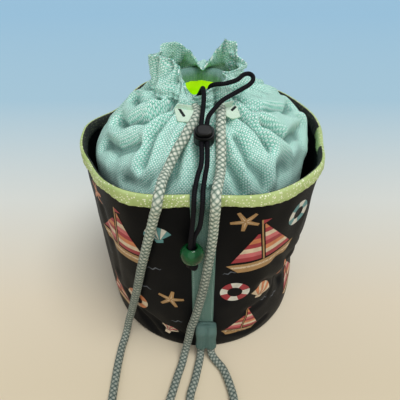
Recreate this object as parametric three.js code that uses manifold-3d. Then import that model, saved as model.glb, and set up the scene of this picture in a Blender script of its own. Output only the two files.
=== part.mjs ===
// Drawstring bucket bag: a printed outer wall round a gathered canvas bag, with a rope that
// makes the straps and a thin drawcord with a cord lock and a bead. Millimetres, +Z up,
// front towards -Y, origin at the middle of the base on the floor.
import * as THREE from 'three';
import { mergeVertices } from 'three/addons/utils/BufferGeometryUtils.js';
import Module from 'manifold-3d';

const wasm = await Module();
wasm.setup();

// Cloth thicknesses and fits
const seamGap = 0.3; // between pieces that are sewn or lie together
const wallCloth = 1.6;
const canvas = 1.6;
const liningCloth = 1.2;
const liningSpace = 1; // the lining hangs this far inside the canvas
const tapeCloth = 1.2;
const stripCloth = 1.5;
const patchCloth = 1.8;
const patchGap = 0.8; // a patch bridges the small gathers under it

// Base and outer wall
const baseRadius = 107;
const baseBoard = 3;
const baseSkew = 5; // the filling pushes the base out at the front right
const baseSkewAngle = -55;
const rimHeight = 216;
const rimRadius = 118;
// Rim outline: how far each part of the edge stands out and up from an even circle
const rimEdge = [
  { angle: -90, out: 1, up: 0 },
  { angle: -62, out: 11, up: 0 },
  { angle: -40, out: 9, up: -2 },
  { angle: -12, out: 0, up: -7 },
  { angle: 18, out: 4, up: -8 },
  { angle: 50, out: 5, up: -6 },
  { angle: 85, out: -1, up: -8 },
  { angle: 118, out: 2, up: -3 },
  { angle: 150, out: -12, up: -14 },
  { angle: 180, out: -3, up: -9 },
  { angle: 210, out: -2, up: -6 },
  { angle: 240, out: 9, up: -1 },
];
const bindingDepth = 10;
const wallBelly = 0.7; // below 1 the wall bellies out between the base and the rim
const wallDents = [
  { angle: -30, height: 66, depth: 10, wide: 24, tall: 36 },
  { angle: -118, height: 26, depth: 3, wide: 16, tall: 20 },
];

// Canvas bag
const footSpace = 7; // between the outer wall and the canvas bag at the floor
const pocketSpace = 11.5; // the same at the rim
const pocketSlack = 3; // where the rim comes in further than this, the bag comes in with it
const bellyBelowRim = 26;
const shoulderRise = 34; // rim to the rope casing
const shoulderRoundness = 1.75;
const shoulderLean = 4.5; // the filling pushes the right shoulder up
const shoulderLeanAngle = -20;
const gatherDepth = 6;
const gatherReach = 42;
const ruffleGather = 2.5;

// Rope and drawcord
const ropeDiameter = 8.5;
const ropeRingRadius = 26;
const drawcordDiameter = 4;
const drawcordRingRadius = 27;
const cordFit = 0.35;
const casingSpace = 1.5; // between the rope and the drawcord in the casing

// Ruffle outline: rise above the casing, lean of its edge, and how full the neck stands below it, by angle.
// It stands up in a lobe at each side, and between them the back edge falls in over the mouth.
const ruffleEdge = [
  { angle: -90, rise: 1, lean: -1, full: 0 },
  { angle: -70, rise: 4, lean: -1, full: 0 },
  { angle: -50, rise: 8, lean: -1, full: 0 },
  { angle: -30, rise: 10, lean: -9, full: 0 },
  { angle: -12, rise: 12, lean: -3, full: 0 },
  { angle: 3, rise: 11, lean: 5, full: 1 },
  { angle: 18, rise: 16, lean: -2, full: 1 },
  { angle: 31, rise: 25, lean: 1, full: 0 },
  { angle: 42, rise: 27, lean: -4, full: 0 },
  { angle: 53, rise: 19, lean: -12, full: 0 },
  { angle: 64, rise: 9, lean: -21, full: 0 },
  { angle: 78, rise: 3, lean: -25, full: 0 },
  { angle: 92, rise: 5, lean: -21, full: 0 },
  { angle: 103, rise: 10, lean: -14, full: 0 },
  { angle: 114, rise: 16, lean: -12, full: 0 },
  { angle: 132, rise: 23, lean: -5, full: 1 },
  { angle: 145, rise: 23, lean: 0, full: 2 },
  { angle: 162, rise: 18, lean: 3, full: 4 },
  { angle: 180, rise: 20, lean: 4, full: 5 },
  { angle: 198, rise: 22, lean: -4, full: 4 },
  { angle: 215, rise: 20, lean: -13, full: 2 },
  { angle: 232, rise: 12, lean: -9, full: 0 },
  { angle: 245, rise: 8, lean: -3, full: 0 },
  { angle: 258, rise: 4, lean: -1, full: 0 },
];

// Front strip, tab and patches
const stripWidth = 21;
const stripCentre = 3;
const tabHeight = 34;
const tabFloorGap = 16;
const tabWall = 1.1;
const tabCentre = 6.3;
const tabCorner = 3;
const ropeEndDepth = 10; // cloth left above the rope ends in the tab
// Patches: where each row of their cloth starts and ends round the neck, from the shoulder up
const leftPatch = [[-107, -99], [-115, -95.5], [-118, -97.5], [-114, -99]];
const rightPatch = [[-64, -57], [-75, -53], [-75, -49], [-74, -50]];
const patchSlotWidth = 1.8;
const patchSlotLength = 7;

// Cord lock, bead and knot
const lockX = 3.2;
const lockStep = 4.85; // place on the front shoulder, counted in its steps
const lockFloat = 1.2;
const lockWidth = 17;
const lockDepth = 14;
const lockBelow = 10.5;
const lockAbove = 4.5;
const lockWall = 1.6;
const plungerFit = 0.3;
const plungerRise = 4.5;
const buttonTravel = 2.5;
const strandGap = 0.5;
const springWire = 0.7;
const springTurns = 3;
const beadDiameter = 20;
const beadHole = 4.9;
const beadX = -6.6;
const beadZ = 164.3;
const knotDiameter = 10.4;
const knotHeight = 9;
const knotSink = 4; // how far the cord ends run into the knot

// Facets round the bag
const bagColumns = 64;
const wallColumns = 40;
const liningColumns = 32;

const DEGREE = Math.PI / 180;
const front = -Math.PI / 2;

function smooth(t) {
  const s = Math.min(Math.max(t, 0), 1);
  return s * s * (3 - 2 * s);
}

function material(colour, roughness, metalness = 0) {
  return new THREE.MeshStandardMaterial({ color: colour, roughness, metalness });
}

// Solid from vertex positions and triangles, turned so that its faces point out
function solid(positions, triangles) {
  let volume = 0;
  const [a, b, c] = [new THREE.Vector3(), new THREE.Vector3(), new THREE.Vector3()];
  for (let i = 0; i < triangles.length; i += 3) {
    a.fromArray(positions, 3 * triangles[i]);
    b.fromArray(positions, 3 * triangles[i + 1]);
    c.fromArray(positions, 3 * triangles[i + 2]);
    volume += a.dot(b.cross(c));
  }
  const geometry = new THREE.BufferGeometry();
  geometry.setAttribute('position', new THREE.Float32BufferAttribute(positions, 3));
  geometry.setIndex(volume > 0 ? triangles : triangles.slice().reverse());
  return geometry;
}

// Cloth between two grids of points: rows run across, and closed cloth goes all the way round
function clothSolid(face, back, closed) {
  const across = face.length;
  const along = face[0].length;
  const positions = [];
  for (const side of [face, back]) {
    for (const line of side) for (const p of line) positions.push(p.x, p.y, p.z);
  }
  const at = (side, i, j) => side * across * along + (i % across) * along + j;
  const triangles = [];
  const quad = (p, q, r, s) => triangles.push(p, q, r, p, r, s);
  const last = closed ? across : across - 1;
  for (let i = 0; i < last; i++) {
    for (let j = 0; j < along - 1; j++) {
      quad(at(0, i, j), at(0, i + 1, j), at(0, i + 1, j + 1), at(0, i, j + 1));
      quad(at(1, i, j), at(1, i, j + 1), at(1, i + 1, j + 1), at(1, i + 1, j));
    }
    quad(at(0, i, 0), at(1, i, 0), at(1, i + 1, 0), at(0, i + 1, 0));
    quad(at(0, i, along - 1), at(0, i + 1, along - 1), at(1, i + 1, along - 1), at(1, i, along - 1));
  }
  if (!closed) {
    for (let j = 0; j < along - 1; j++) {
      quad(at(0, 0, j), at(0, 0, j + 1), at(1, 0, j + 1), at(1, 0, j));
      quad(at(0, last, j), at(1, last, j), at(1, last, j + 1), at(0, last, j + 1));
    }
  }
  return solid(positions, triangles);
}

// Section points moved sideways, to the right of the way they run
function shifted(section, distance) {
  return section.map((p, j) => {
    const before = section[Math.max(j - 1, 0)];
    const after = section[Math.min(j + 1, section.length - 1)];
    const run = new THREE.Vector2().subVectors(after, before).normalize();
    return new THREE.Vector2(p.x + run.y * distance, p.y - run.x * distance);
  });
}

function turned(section, theta) {
  return section.map((p) => new THREE.Vector3(p.x * Math.cos(theta), p.x * Math.sin(theta), p.y));
}

// Cloth whose outer face follows a section that changes with the angle
function clothRound(section, thickness, angles, closed) {
  const face = angles.map((theta) => turned(section(theta), theta));
  const back = angles.map((theta) => turned(shifted(section(theta), -thickness), theta));
  return clothSolid(face, back, closed);
}

function fullTurn(count) {
  return Array.from({ length: count }, (_, i) => (i / count) * 2 * Math.PI);
}

// Values of an edge's list at an angle, eased from one entry to the next
function edgeAt(edge, theta) {
  const start = edge[0].angle;
  const turn = (((theta / DEGREE - start) % 360) + 360) % 360 + start;
  const next = edge.findIndex((entry) => entry.angle > turn);
  const before = next < 0 ? edge[edge.length - 1] : edge[next - 1];
  const after = next < 0 ? { ...edge[0], angle: start + 360 } : edge[next];
  const t = smooth((turn - before.angle) / (after.angle - before.angle));
  const value = {};
  for (const key of Object.keys(before)) value[key] = THREE.MathUtils.lerp(before[key], after[key], t);
  return value;
}

// Outer wall: round at the base, softly cornered at the rim, with a few dents
function rimTop(theta) {
  return rimHeight + edgeAt(rimEdge, theta).up;
}

function wallRadius(theta, z) {
  const skew = baseSkew * Math.cos(theta - baseSkewAngle * DEGREE);
  const rise = (z / rimTop(theta)) ** wallBelly;
  let radius = THREE.MathUtils.lerp(baseRadius + skew, rimRadius + edgeAt(rimEdge, theta).out, rise);
  for (const dent of wallDents) {
    const turn = Math.atan2(Math.sin(theta - dent.angle * DEGREE), Math.cos(theta - dent.angle * DEGREE));
    const away = (turn / DEGREE / dent.wide) ** 2 + ((z - dent.height) / dent.tall) ** 2;
    radius -= dent.depth * Math.exp(-away) * smooth(z / dent.height);
  }
  return radius;
}

const wallRows = [0, 0.06, 0.14, 0.25, 0.38, 0.55, 0.75, 1];

function wallSection(theta) {
  return wallRows.map((row) => {
    const z = row * rimTop(theta);
    return new THREE.Vector2(wallRadius(theta, z), z);
  });
}

// Canvas bag: belly, shoulders, casing and ruffle
const footZ = baseBoard + seamGap;
const footRadius = baseRadius - wallCloth - footSpace;
const bellyZ = rimHeight - bellyBelowRim;
const ropeZ = rimHeight + shoulderRise;
const ropeRadius = ropeDiameter / 2;
const drawcordRadius = drawcordDiameter / 2;
const drawcordZ = ropeZ + ropeRadius + casingSpace + drawcordRadius;
const casingTop = drawcordZ + drawcordRadius + 2 * casingSpace;
const neckRadius = ropeRingRadius + ropeRadius + seamGap + canvas + gatherDepth;
const throatRadius = drawcordRingRadius + drawcordRadius + seamGap + canvas + gatherDepth;
const bellySteps = 3;
const shoulderSteps = 8;
const ruffleSteps = 5;

// Gathers: uneven pleats, from -1 in a valley to 1 on a crest
function gather(theta) {
  const warped = theta + 0.13 * Math.sin(2 * theta + 1);
  return 0.62 * Math.cos(13 * warped + 0.5) + 0.38 * Math.cos(8 * warped + 2.1);
}

// Hem of the ruffle: the gathers open out into a few broad waves
function hemWave(theta) {
  return 0.65 * Math.cos(5 * theta + 0.9) + 0.35 * Math.cos(9 * theta + 2.4);
}

function bellyRadius(theta) {
  const pressedIn = Math.min(edgeAt(rimEdge, theta).out + pocketSlack, 0);
  return rimRadius - wallCloth - pocketSpace + pressedIn;
}

function shoulderPoint(theta, step) {
  const phi = (step / shoulderSteps) * 90 * DEGREE;
  const power = 2 / shoulderRoundness;
  const push = shoulderLean * Math.cos(theta - shoulderLeanAngle * DEGREE) * Math.sin(2 * phi) ** 2;
  const radius = neckRadius + (bellyRadius(theta) - neckRadius) * Math.cos(phi) ** power;
  const z = bellyZ + (ropeZ - bellyZ) * Math.sin(phi) ** power;
  return new THREE.Vector2(radius + push * Math.cos(phi), z + push * Math.sin(phi));
}

function gatheredPoint(point, normalX, normalZ, amount) {
  return new THREE.Vector2(point.x + normalX * amount, point.y + normalZ * amount);
}

function bellySection(theta) {
  const rows = [];
  for (let i = 0; i < bellySteps; i++) {
    const t = i / bellySteps;
    const z = THREE.MathUtils.lerp(footZ, bellyZ, t);
    rows.push(new THREE.Vector2(THREE.MathUtils.lerp(footRadius, bellyRadius(theta), smooth(t)), z));
  }
  return rows;
}

function bagSection(theta, fold = gather(theta)) {
  const rows = bellySection(theta);
  for (let step = 0; step < shoulderSteps; step++) {
    const point = shoulderPoint(theta, step);
    const share = Math.max(1 - (point.x - neckRadius) / gatherReach, 0) ** 1.2;
    const up = step / shoulderSteps;
    rows.push(gatheredPoint(point, 1 - up, up, gatherDepth * share * fold));
  }
  const ruffle = edgeAt(ruffleEdge, theta);
  const neckZ = ropeZ + casingSpace;
  const pleat = ruffle.full + gatherDepth * fold;
  rows.push(new THREE.Vector2(neckRadius + pleat, neckZ));
  rows.push(new THREE.Vector2((neckRadius + throatRadius) / 2 + pleat, drawcordZ - casingSpace));
  rows.push(new THREE.Vector2(throatRadius + pleat, casingTop));
  for (let step = 1; step <= ruffleSteps; step++) {
    const t = step / ruffleSteps;
    const flare = THREE.MathUtils.lerp(gatherDepth * fold, ruffleGather * hemWave(theta), smooth(t));
    const lean = ruffle.lean * Math.sin((t * Math.PI) / 2);
    rows.push(new THREE.Vector2(throatRadius + ruffle.full + lean + flare, casingTop + ruffle.rise * t));
  }
  return rows;
}

// Lining: inside the canvas, inward under the rope, up the inside of the casing and out over the drawcord
const liningFold = 0.8;
const liningNeck = ropeRingRadius - ropeRadius - seamGap - liningFold;
const liningShoulder = 6;
const lipZ = drawcordZ + drawcordRadius + seamGap;

function liningSection(theta) {
  const rows = bagSection(theta, -1).slice(0, bellySteps + liningShoulder);
  const inside = shifted(rows, -(canvas + liningSpace));
  inside[0].y = footZ;
  const fold = liningFold * gather(theta);
  const under = ropeZ - ropeRadius - seamGap - gatherDepth;
  inside.push(new THREE.Vector2(ropeRingRadius + ropeDiameter, under - seamGap));
  inside.push(new THREE.Vector2(liningNeck + 2 + fold, under));
  inside.push(new THREE.Vector2(liningNeck + fold, ropeZ - ropeRadius / 2));
  inside.push(new THREE.Vector2(liningNeck + fold, drawcordZ));
  inside.push(new THREE.Vector2(liningNeck + casingSpace + fold, lipZ));
  inside.push(new THREE.Vector2(throatRadius - gatherDepth - canvas - 2 * seamGap, lipZ));
  return inside;
}

// Closed solid as a manifold, and back
function toManifold(geometry) {
  const bare = geometry.clone();
  bare.deleteAttribute('normal');
  bare.deleteAttribute('uv');
  const merged = mergeVertices(bare, 1e-4);
  return new wasm.Manifold(new wasm.Mesh({
    numProp: 3,
    vertProperties: new Float32Array(merged.attributes.position.array),
    triVerts: new Uint32Array(merged.index.array),
  }));
}

function fromManifold(body) {
  const mesh = body.getMesh();
  const geometry = new THREE.BufferGeometry();
  geometry.setAttribute('position', new THREE.Float32BufferAttribute(mesh.vertProperties, 3));
  geometry.setIndex(Array.from(mesh.triVerts));
  return geometry;
}

function cut(geometry, ...tools) {
  return fromManifold(tools.reduce((body, tool) => body.subtract(toManifold(tool)), toManifold(geometry)));
}

function joined(...geometries) {
  return fromManifold(geometries.map(toManifold).reduce((body, other) => body.add(other)));
}

// Cord along listed points, with its steps where the points are
class CordRoute extends THREE.CatmullRomCurve3 {
  getUtoTmapping(u) {
    return u;
  }
}

function cordSolid(points, radius, sides) {
  const section = new THREE.Shape();
  for (let i = 0; i < sides; i++) {
    const turn = (i / sides) * 2 * Math.PI;
    const corner = [radius * Math.cos(turn), radius * Math.sin(turn)];
    if (i === 0) section.moveTo(...corner);
    else section.lineTo(...corner);
  }
  section.closePath();
  const route = new CordRoute(points.map((p) => new THREE.Vector3(...p)), false, 'centripetal');
  const steps = points.length - 1;
  return new THREE.ExtrudeGeometry(section, { steps, extrudePath: route, bevelEnabled: false });
}

function ringPoints(radius, z, from, to, count) {
  return Array.from({ length: count }, (_, i) => {
    const turn = THREE.MathUtils.lerp(from, to, i / (count - 1)) * DEGREE;
    return [radius * Math.cos(turn), radius * Math.sin(turn), z];
  });
}

// Closed outline carried round, such as a bound edge
function ringSolid(outline, angles) {
  const positions = [];
  for (const theta of angles) for (const p of turned(outline(theta), theta)) positions.push(p.x, p.y, p.z);
  const across = angles.length;
  const along = positions.length / 3 / across;
  const at = (i, j) => (i % across) * along + (j % along);
  const triangles = [];
  for (let i = 0; i < across; i++) {
    for (let j = 0; j < along; j++) {
      triangles.push(at(i, j), at(i + 1, j), at(i + 1, j + 1));
      triangles.push(at(i, j), at(i + 1, j + 1), at(i, j + 1));
    }
  }
  return solid(positions, triangles);
}

// Oval rings stacked along Z and capped, such as the barrel of the cord lock
function stackSolid(levels, count, squareness = 2.6) {
  const positions = [];
  for (const level of levels) {
    for (let i = 0; i < count; i++) {
      const turn = (i / count) * 2 * Math.PI;
      const c = Math.cos(turn);
      const d = Math.sin(turn);
      const swell = (Math.abs(c) ** squareness + Math.abs(d) ** squareness) ** (-1 / squareness);
      positions.push(level.halfX * swell * c, level.halfY * swell * d, level.z);
    }
  }
  const triangles = [];
  const last = (levels.length - 1) * count;
  for (let j = 0; j < levels.length - 1; j++) {
    for (let i = 0; i < count; i++) {
      const [p, q] = [j * count + i, j * count + ((i + 1) % count)];
      triangles.push(p, q, q + count, p, q + count, p + count);
    }
  }
  for (let i = 1; i < count - 1; i++) {
    triangles.push(0, i + 1, i);
    triangles.push(last, last + i, last + i + 1);
  }
  return solid(positions, triangles);
}

// Slot with rounded corners that runs along Y
function slotCutter(width, height, length, corner = height / 2) {
  const [x, y] = [width / 2 - corner, height / 2 - corner];
  const outline = new THREE.Shape();
  outline.moveTo(-x, -y - corner);
  outline.absarc(x, -y, corner, -Math.PI / 2, 0, false);
  outline.absarc(x, y, corner, 0, Math.PI / 2, false);
  outline.absarc(-x, y, corner, Math.PI / 2, Math.PI, false);
  outline.absarc(-x, -y, corner, Math.PI, 1.5 * Math.PI, false);
  const cutter = new THREE.ExtrudeGeometry(outline, { depth: length, bevelEnabled: false, curveSegments: 6 });
  return cutter.translate(0, 0, -length / 2).rotateX(Math.PI / 2);
}

// Wall point as its flat facets have it, between two of its rows
function wallFace(theta, z) {
  const section = wallSection(theta);
  const next = Math.max(section.findIndex((p) => p.y >= z), 1);
  const [below, above] = [section[next - 1], section[next]];
  return THREE.MathUtils.lerp(below.x, above.x, (z - below.y) / (above.y - below.y));
}

function bindingOutline(theta) {
  const top = rimTop(theta);
  const foot = top - bindingDepth;
  const [edge, low] = [wallFace(theta, top), wallFace(theta, foot)];
  const out = seamGap + tapeCloth;
  const inner = wallCloth + seamGap;
  return [
    [low + out, foot], [edge + out, top], [edge + seamGap, top + out], [edge - inner, top + out],
    [edge - inner - tapeCloth, top], [low - inner - tapeCloth, foot], [low - inner, foot],
    [edge - inner, top + seamGap], [edge + seamGap, top + seamGap], [low + seamGap, foot],
  ].map(([x, y]) => new THREE.Vector2(x, y));
}

// Front strip: from the tab up the wall, over the bound rim and on to the shoulder
const stripFoot = tabFloorGap + tabHeight + seamGap;

function stripSection(theta) {
  const top = rimTop(theta);
  const overBinding = 2 * seamGap + tapeCloth;
  const rows = [];
  const wallSteps = 7;
  for (let i = 0; i <= wallSteps; i++) {
    const z = THREE.MathUtils.lerp(stripFoot, top - bindingDepth - overBinding, i / wallSteps);
    rows.push(new THREE.Vector2(wallFace(theta, z) + seamGap, z));
  }
  const edge = wallFace(theta, top);
  rows.push(new THREE.Vector2(wallFace(theta, top - bindingDepth) + overBinding, top - bindingDepth));
  rows.push(new THREE.Vector2(edge + overBinding, top + seamGap));
  rows.push(new THREE.Vector2(edge, top + overBinding + 0.2));
  rows.push(new THREE.Vector2(edge - wallCloth - tapeCloth - seamGap, top + overBinding + 0.2));
  const bag = bagSection(theta);
  const shoulder = shifted(bag, seamGap);
  const first = bellySteps + 2;
  rows.push(shoulder[first], shoulder[first + 1], shoulder[first + 2]);
  return shifted(rows, stripCloth);
}

function stripAngles() {
  return [-1, -0.5, 0, 0.5, 1].map((side) => {
    const x = stripCentre + (side * stripWidth) / 2;
    return front + Math.atan2(x, rimRadius);
  });
}

// Cord lock seat: on the middle of the front shoulder, tilted as the shoulder is
const lockSeat = shoulderPoint(front, lockStep);
const lockUphill = shoulderPoint(front, lockStep + 0.5);
const lockDownhill = shoulderPoint(front, lockStep - 0.5);
const lockTilt = Math.atan2(lockUphill.y - lockDownhill.y, lockDownhill.x - lockUphill.x);
const lockGroup = new THREE.Group();
lockGroup.rotation.x = lockTilt;
lockGroup.position.set(
  lockX,
  -lockSeat.x - (lockBelow + lockFloat) * Math.sin(lockTilt),
  lockSeat.y + (lockBelow + lockFloat) * Math.cos(lockTilt),
);
lockGroup.updateMatrixWorld(true);

function inLock(x, along, up) {
  return new THREE.Vector3(x, -along, up).applyMatrix4(lockGroup.matrixWorld).toArray();
}

const printedCloth = material(0x14151c, 0.45);
const mintCanvas = material(0x8fc9b4, 0.85);
const limeLining = material(0xb5e01a, 0.8);
const greenTape = material(0xc3dc8a, 0.7);
const paleMint = material(0xb9e3cf, 0.6);
const blackCord = material(0x0c0d12, 0.75);
const blackPlastic = material(0x08080a, 0.35);
const springSteel = material(0x9a9ea3, 0.3, 0.9);
const greenGlass = material(0x0d4a24, 0.12);
const ropeBraid = material(0xb7c7b2, 0.8);

// Round panel cut to the outline of what it lies in
function panel(radiusAt, bottom, top, count) {
  const outline = new THREE.Shape(fullTurn(count).map((theta) => {
    const radius = radiusAt(theta);
    return new THREE.Vector2(radius * Math.cos(theta), radius * Math.sin(theta));
  }));
  const geometry = new THREE.ExtrudeGeometry(outline, { depth: top - bottom, bevelEnabled: false });
  return geometry.translate(0, 0, bottom);
}

// Cord lock: a barrel with a slot for both strands, and a sprung plunger with the same slot
const strandOffset = drawcordRadius + strandGap / 2;
const slotWidth = 2 * (strandOffset + drawcordRadius + cordFit);
const slotHeight = 2 * (drawcordRadius + cordFit);
const plungerX = lockWidth / 2 - lockWall - plungerFit;
const plungerY = lockDepth / 2 - lockWall - plungerFit;
const plungerFloor = -slotHeight / 2 - lockWall;
const boreFloor = -lockBelow + lockWall;

function lockBody() {
  const [x, y] = [lockWidth / 2, lockDepth / 2];
  const barrel = stackSolid([
    { z: -lockBelow, halfX: x - 2, halfY: y - 2 },
    { z: -lockBelow + 0.8, halfX: x - 0.7, halfY: y - 0.7 },
    { z: -lockBelow + 2.6, halfX: x, halfY: y },
    { z: lockAbove - 1.4, halfX: x, halfY: y },
    { z: lockAbove, halfX: x - 0.6, halfY: y - 0.6 },
  ], 24);
  const bore = stackSolid([
    { z: boreFloor, halfX: plungerX + plungerFit, halfY: plungerY + plungerFit },
    { z: lockAbove + 1, halfX: plungerX + plungerFit, halfY: plungerY + plungerFit },
  ], 24);
  return cut(barrel, bore, slotCutter(slotWidth, slotHeight, 2 * lockDepth));
}

function lockPlunger() {
  const top = lockAbove + plungerRise;
  const barrel = stackSolid([
    { z: plungerFloor, halfX: plungerX, halfY: plungerY },
    { z: top - 1.2, halfX: plungerX, halfY: plungerY },
    { z: top - 0.3, halfX: plungerX - 0.5, halfY: plungerY - 0.5 },
    { z: top, halfX: plungerX - 1.6, halfY: plungerY - 1.6 },
  ], 24);
  const slot = slotCutter(slotWidth, slotHeight + buttonTravel, 2 * lockDepth, slotHeight / 2);
  return cut(barrel, slot.translate(0, 0, buttonTravel / 2));
}

class Helix extends THREE.Curve {
  constructor(radius, bottom, height, turns) {
    super();
    Object.assign(this, { radius, bottom, height, turns });
  }

  getPoint(t, target = new THREE.Vector3()) {
    const turn = t * this.turns * 2 * Math.PI;
    return target.set(this.radius * Math.cos(turn), this.radius * Math.sin(turn), this.bottom + t * this.height);
  }
}

function lockSpring() {
  const wire = new THREE.Shape().absarc(0, 0, springWire / 2, 0, 2 * Math.PI);
  const bottom = boreFloor + springWire / 2 + seamGap;
  const height = plungerFloor - springWire / 2 - seamGap - bottom;
  const coil = new Helix(plungerY - springWire, bottom, height, springTurns);
  return new THREE.ExtrudeGeometry(wire, { steps: 10 * springTurns, extrudePath: coil, curveSegments: 3 });
}

// Rope: from the tab along the floor, up the right, round the casing, down the left and back
const tabDepth = ropeDiameter + 2 * (cordFit + tabWall);
const tabBack = -(wallFace(front, stripFoot) + seamGap);
const ropeEndY = tabBack - tabDepth / 2;
const ropeEndOut = ropeRadius + cordFit + tabWall / 3;
const ropeEndZ = stripFoot - seamGap - ropeEndDepth;
const ropeOut = [
  [tabCentre - ropeEndOut, ropeEndY, ropeEndZ], [tabCentre - ropeEndOut, ropeEndY, 24],
  [tabCentre - ropeEndOut, ropeEndY, 15], [0.9, -121.4, 11], [0.6, -124.4, 7.4], [0, -128.5, 5.2],
  [-1.5, -136, 4.4], [-5.1, -152.7, 4.4], [-9.8, -173, 4.4],
  [-5, -189, 4.4], [-4, -203, 4.4], [-10, -214, 4.4], [-19.6, -217.5, 4.4], [-29, -214, 4.4],
  [-35.5, -203, 4.4], [-34.5, -189, 4.4], [-29.4, -173, 4.4], [-22.7, -147.4, 4.4],
  [-18.6, -134, 5.2], [-16.3, -126, 10.5], [-13.5, -121.5, 21], [-11, -121.4, 36],
  [-8.9, -121.5, 50], [-5.2, -121.7, 65.2],
  [2.8, -122.8, 109.9], [7.7, -124.2, 151.2], [10.5, -125.1, 181.5], [11, -126.2, 196],
  [11.8, -128.2, 214], [12, -125.4, 222], [13.6, -116, 225.2], [15.8, -103, 226],
  [16.8, -91, 232], [16.8, -81.7, 240], [16.9, -70.1, 246.5], [17.4, -58, 251], [18.2, -46, 252.2],
  [18, -36, 251], [18.7, -27.8, 250.2],
];
const ropeBack = [
  [-13, -26.5, 250.2], [-7, -34.5, 250.3], [-3.2, -43.5, 251.2], [-2.6, -53, 251], [-6, -64, 248.5],
  [-9.8, -70, 246], [-12.1, -75.3, 243], [-17.7, -82.2, 236.9], [-22.5, -88.4, 229.5],
  [-26.6, -96, 223.5], [-29.3, -108, 223], [-30.5, -118, 222], [-31.8, -124.5, 218.2],
  [-33.5, -125.5, 209], [-34.9, -124, 203.9], [-39.7, -121.2, 184.4], [-44.8, -119.1, 164.2],
  [-51.9, -115.1, 135.1], [-59.3, -109.6, 101], [-66, -104, 72], [-72.5, -98.5, 45],
  [-77.5, -96, 26], [-80.6, -98, 13], [-83, -105, 6], [-84.8, -113.5, 4.4], [-86.2, -136, 4.4],
  [-86.4, -173, 4.4], [-86, -196, 4.4], [-76, -217, 4.4], [-54, -234, 4.4], [-26, -240, 4.4],
  [2, -234, 4.4], [22, -218, 4.4], [33, -196, 4.4], [33.4, -173, 4.4], [30.3, -158, 4.4],
  [24, -140.5, 4.4], [18, -132.5, 4.5], [14, -127.3, 5.6], [12, -123.6, 7.9], [11.4, -121.3, 11.2],
  [tabCentre + ropeEndOut, ropeEndY, 15], [tabCentre + ropeEndOut, ropeEndY, 24], [tabCentre + ropeEndOut, ropeEndY, ropeEndZ],
];
const ropeRoute = [...ropeOut, ...ringPoints(ropeRingRadius, ropeZ, -42, 222, 19), ...ropeBack];
const ropeExits = [ropeOut.slice(-6), ropeBack.slice(0, 6)];

// Drawcord: from the knot through the bead and the lock, round the casing and back as a long bight
const beadY = -(wallFace(front, beadZ) + 2 * seamGap + stripCloth + beadDiameter / 2);
const [strandX, strandY] = [strandOffset * 0.53, strandOffset * 0.848];
const knotTop = beadZ - Math.sqrt((beadDiameter / 2) ** 2 - beadHole ** 2) - seamGap;
const outerStrand = (z) => [beadX - strandX, beadY - strandY, z];
const innerStrand = (z) => [beadX + strandX, beadY + strandY, z];
const drawcordRoute = [
  outerStrand(knotTop - knotSink), outerStrand(beadZ), outerStrand(beadZ + 9.5), [-7.4, -131.2, 182], [-6.2, -128.8, 192],
  [-5, -127, 207], [-4.6, -125, 217.5], [-3.9, -119.5, 223.2], [-1.6, -109.5, 229.5],
  inLock(-strandOffset, 25, 0), inLock(-strandOffset, 0, 0), inLock(-strandOffset, -9, 0),
  [2, -63, 258], [3, -53, 263.5], [3.2, -46, 267.5], [3, -40, 269.5], [2.4, -34, 269.5],
  [1, -29, 265.5], [-2.5, -26.8, 259.9],
  ...ringPoints(drawcordRingRadius, drawcordZ, -105, -435, 25),
  [8, -27.6, 262.4], [9, -31.4, 267.6], [12, -35, 270.6], [21, -37.5, 272.2], [31, -33.5, 273.6],
  [37.5, -26, 275.2], [42, -24.8, 275.4], [44.8, -26.6, 274.2], [45, -30, 272], [42, -34, 270],
  [36, -39, 268.4], [28, -46, 267],
  [18, -54, 264.5], [11.5, -61, 260.5], [7, -67, 257],
  inLock(strandOffset, -9, 0), inLock(strandOffset, 0, 0), inLock(strandOffset, 25, 0),
  [4, -109.5, 229.5], [2.4, -119.5, 223.3], [2.1, -125, 217.6], [1.4, -127, 207], [-0.5, -127.8, 192],
  [-4.4, -128, 182], innerStrand(beadZ + 9.5), innerStrand(beadZ), innerStrand(knotTop - knotSink),
];

const ringStart = drawcordRoute.findIndex(([, , z]) => z === drawcordZ);
const ringEnd = drawcordRoute.findLastIndex(([, , z]) => z === drawcordZ);
const drawcordExits = [drawcordRoute.slice(ringStart - 5, ringStart + 2), drawcordRoute.slice(ringEnd - 1, ringEnd + 5)];

function bead() {
  const radius = beadDiameter / 2;
  const reach = Math.acos(beadHole / radius);
  const profile = Array.from({ length: 11 }, (_, i) => {
    const turn = THREE.MathUtils.lerp(-reach, reach, i / 10);
    return new THREE.Vector2(radius * Math.cos(turn), radius * Math.sin(turn));
  });
  profile.push(profile[0].clone());
  return new THREE.LatheGeometry(profile, 20).rotateX(Math.PI / 2).translate(beadX, beadY, beadZ);
}

function knot() {
  const profile = Array.from({ length: 9 }, (_, i) => {
    const turn = (i / 8) * Math.PI - Math.PI / 2;
    const swell = Math.abs(Math.cos(turn)) ** 0.6;
    return new THREE.Vector2((knotDiameter / 2) * swell, (knotHeight / 2) * Math.sin(turn));
  });
  profile[0].x = 0;
  profile[8].x = 0;
  const lump = new THREE.LatheGeometry(profile, 12).rotateX(Math.PI / 2);
  return lump.translate(beadX, beadY, knotTop - knotHeight / 2);
}

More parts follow.
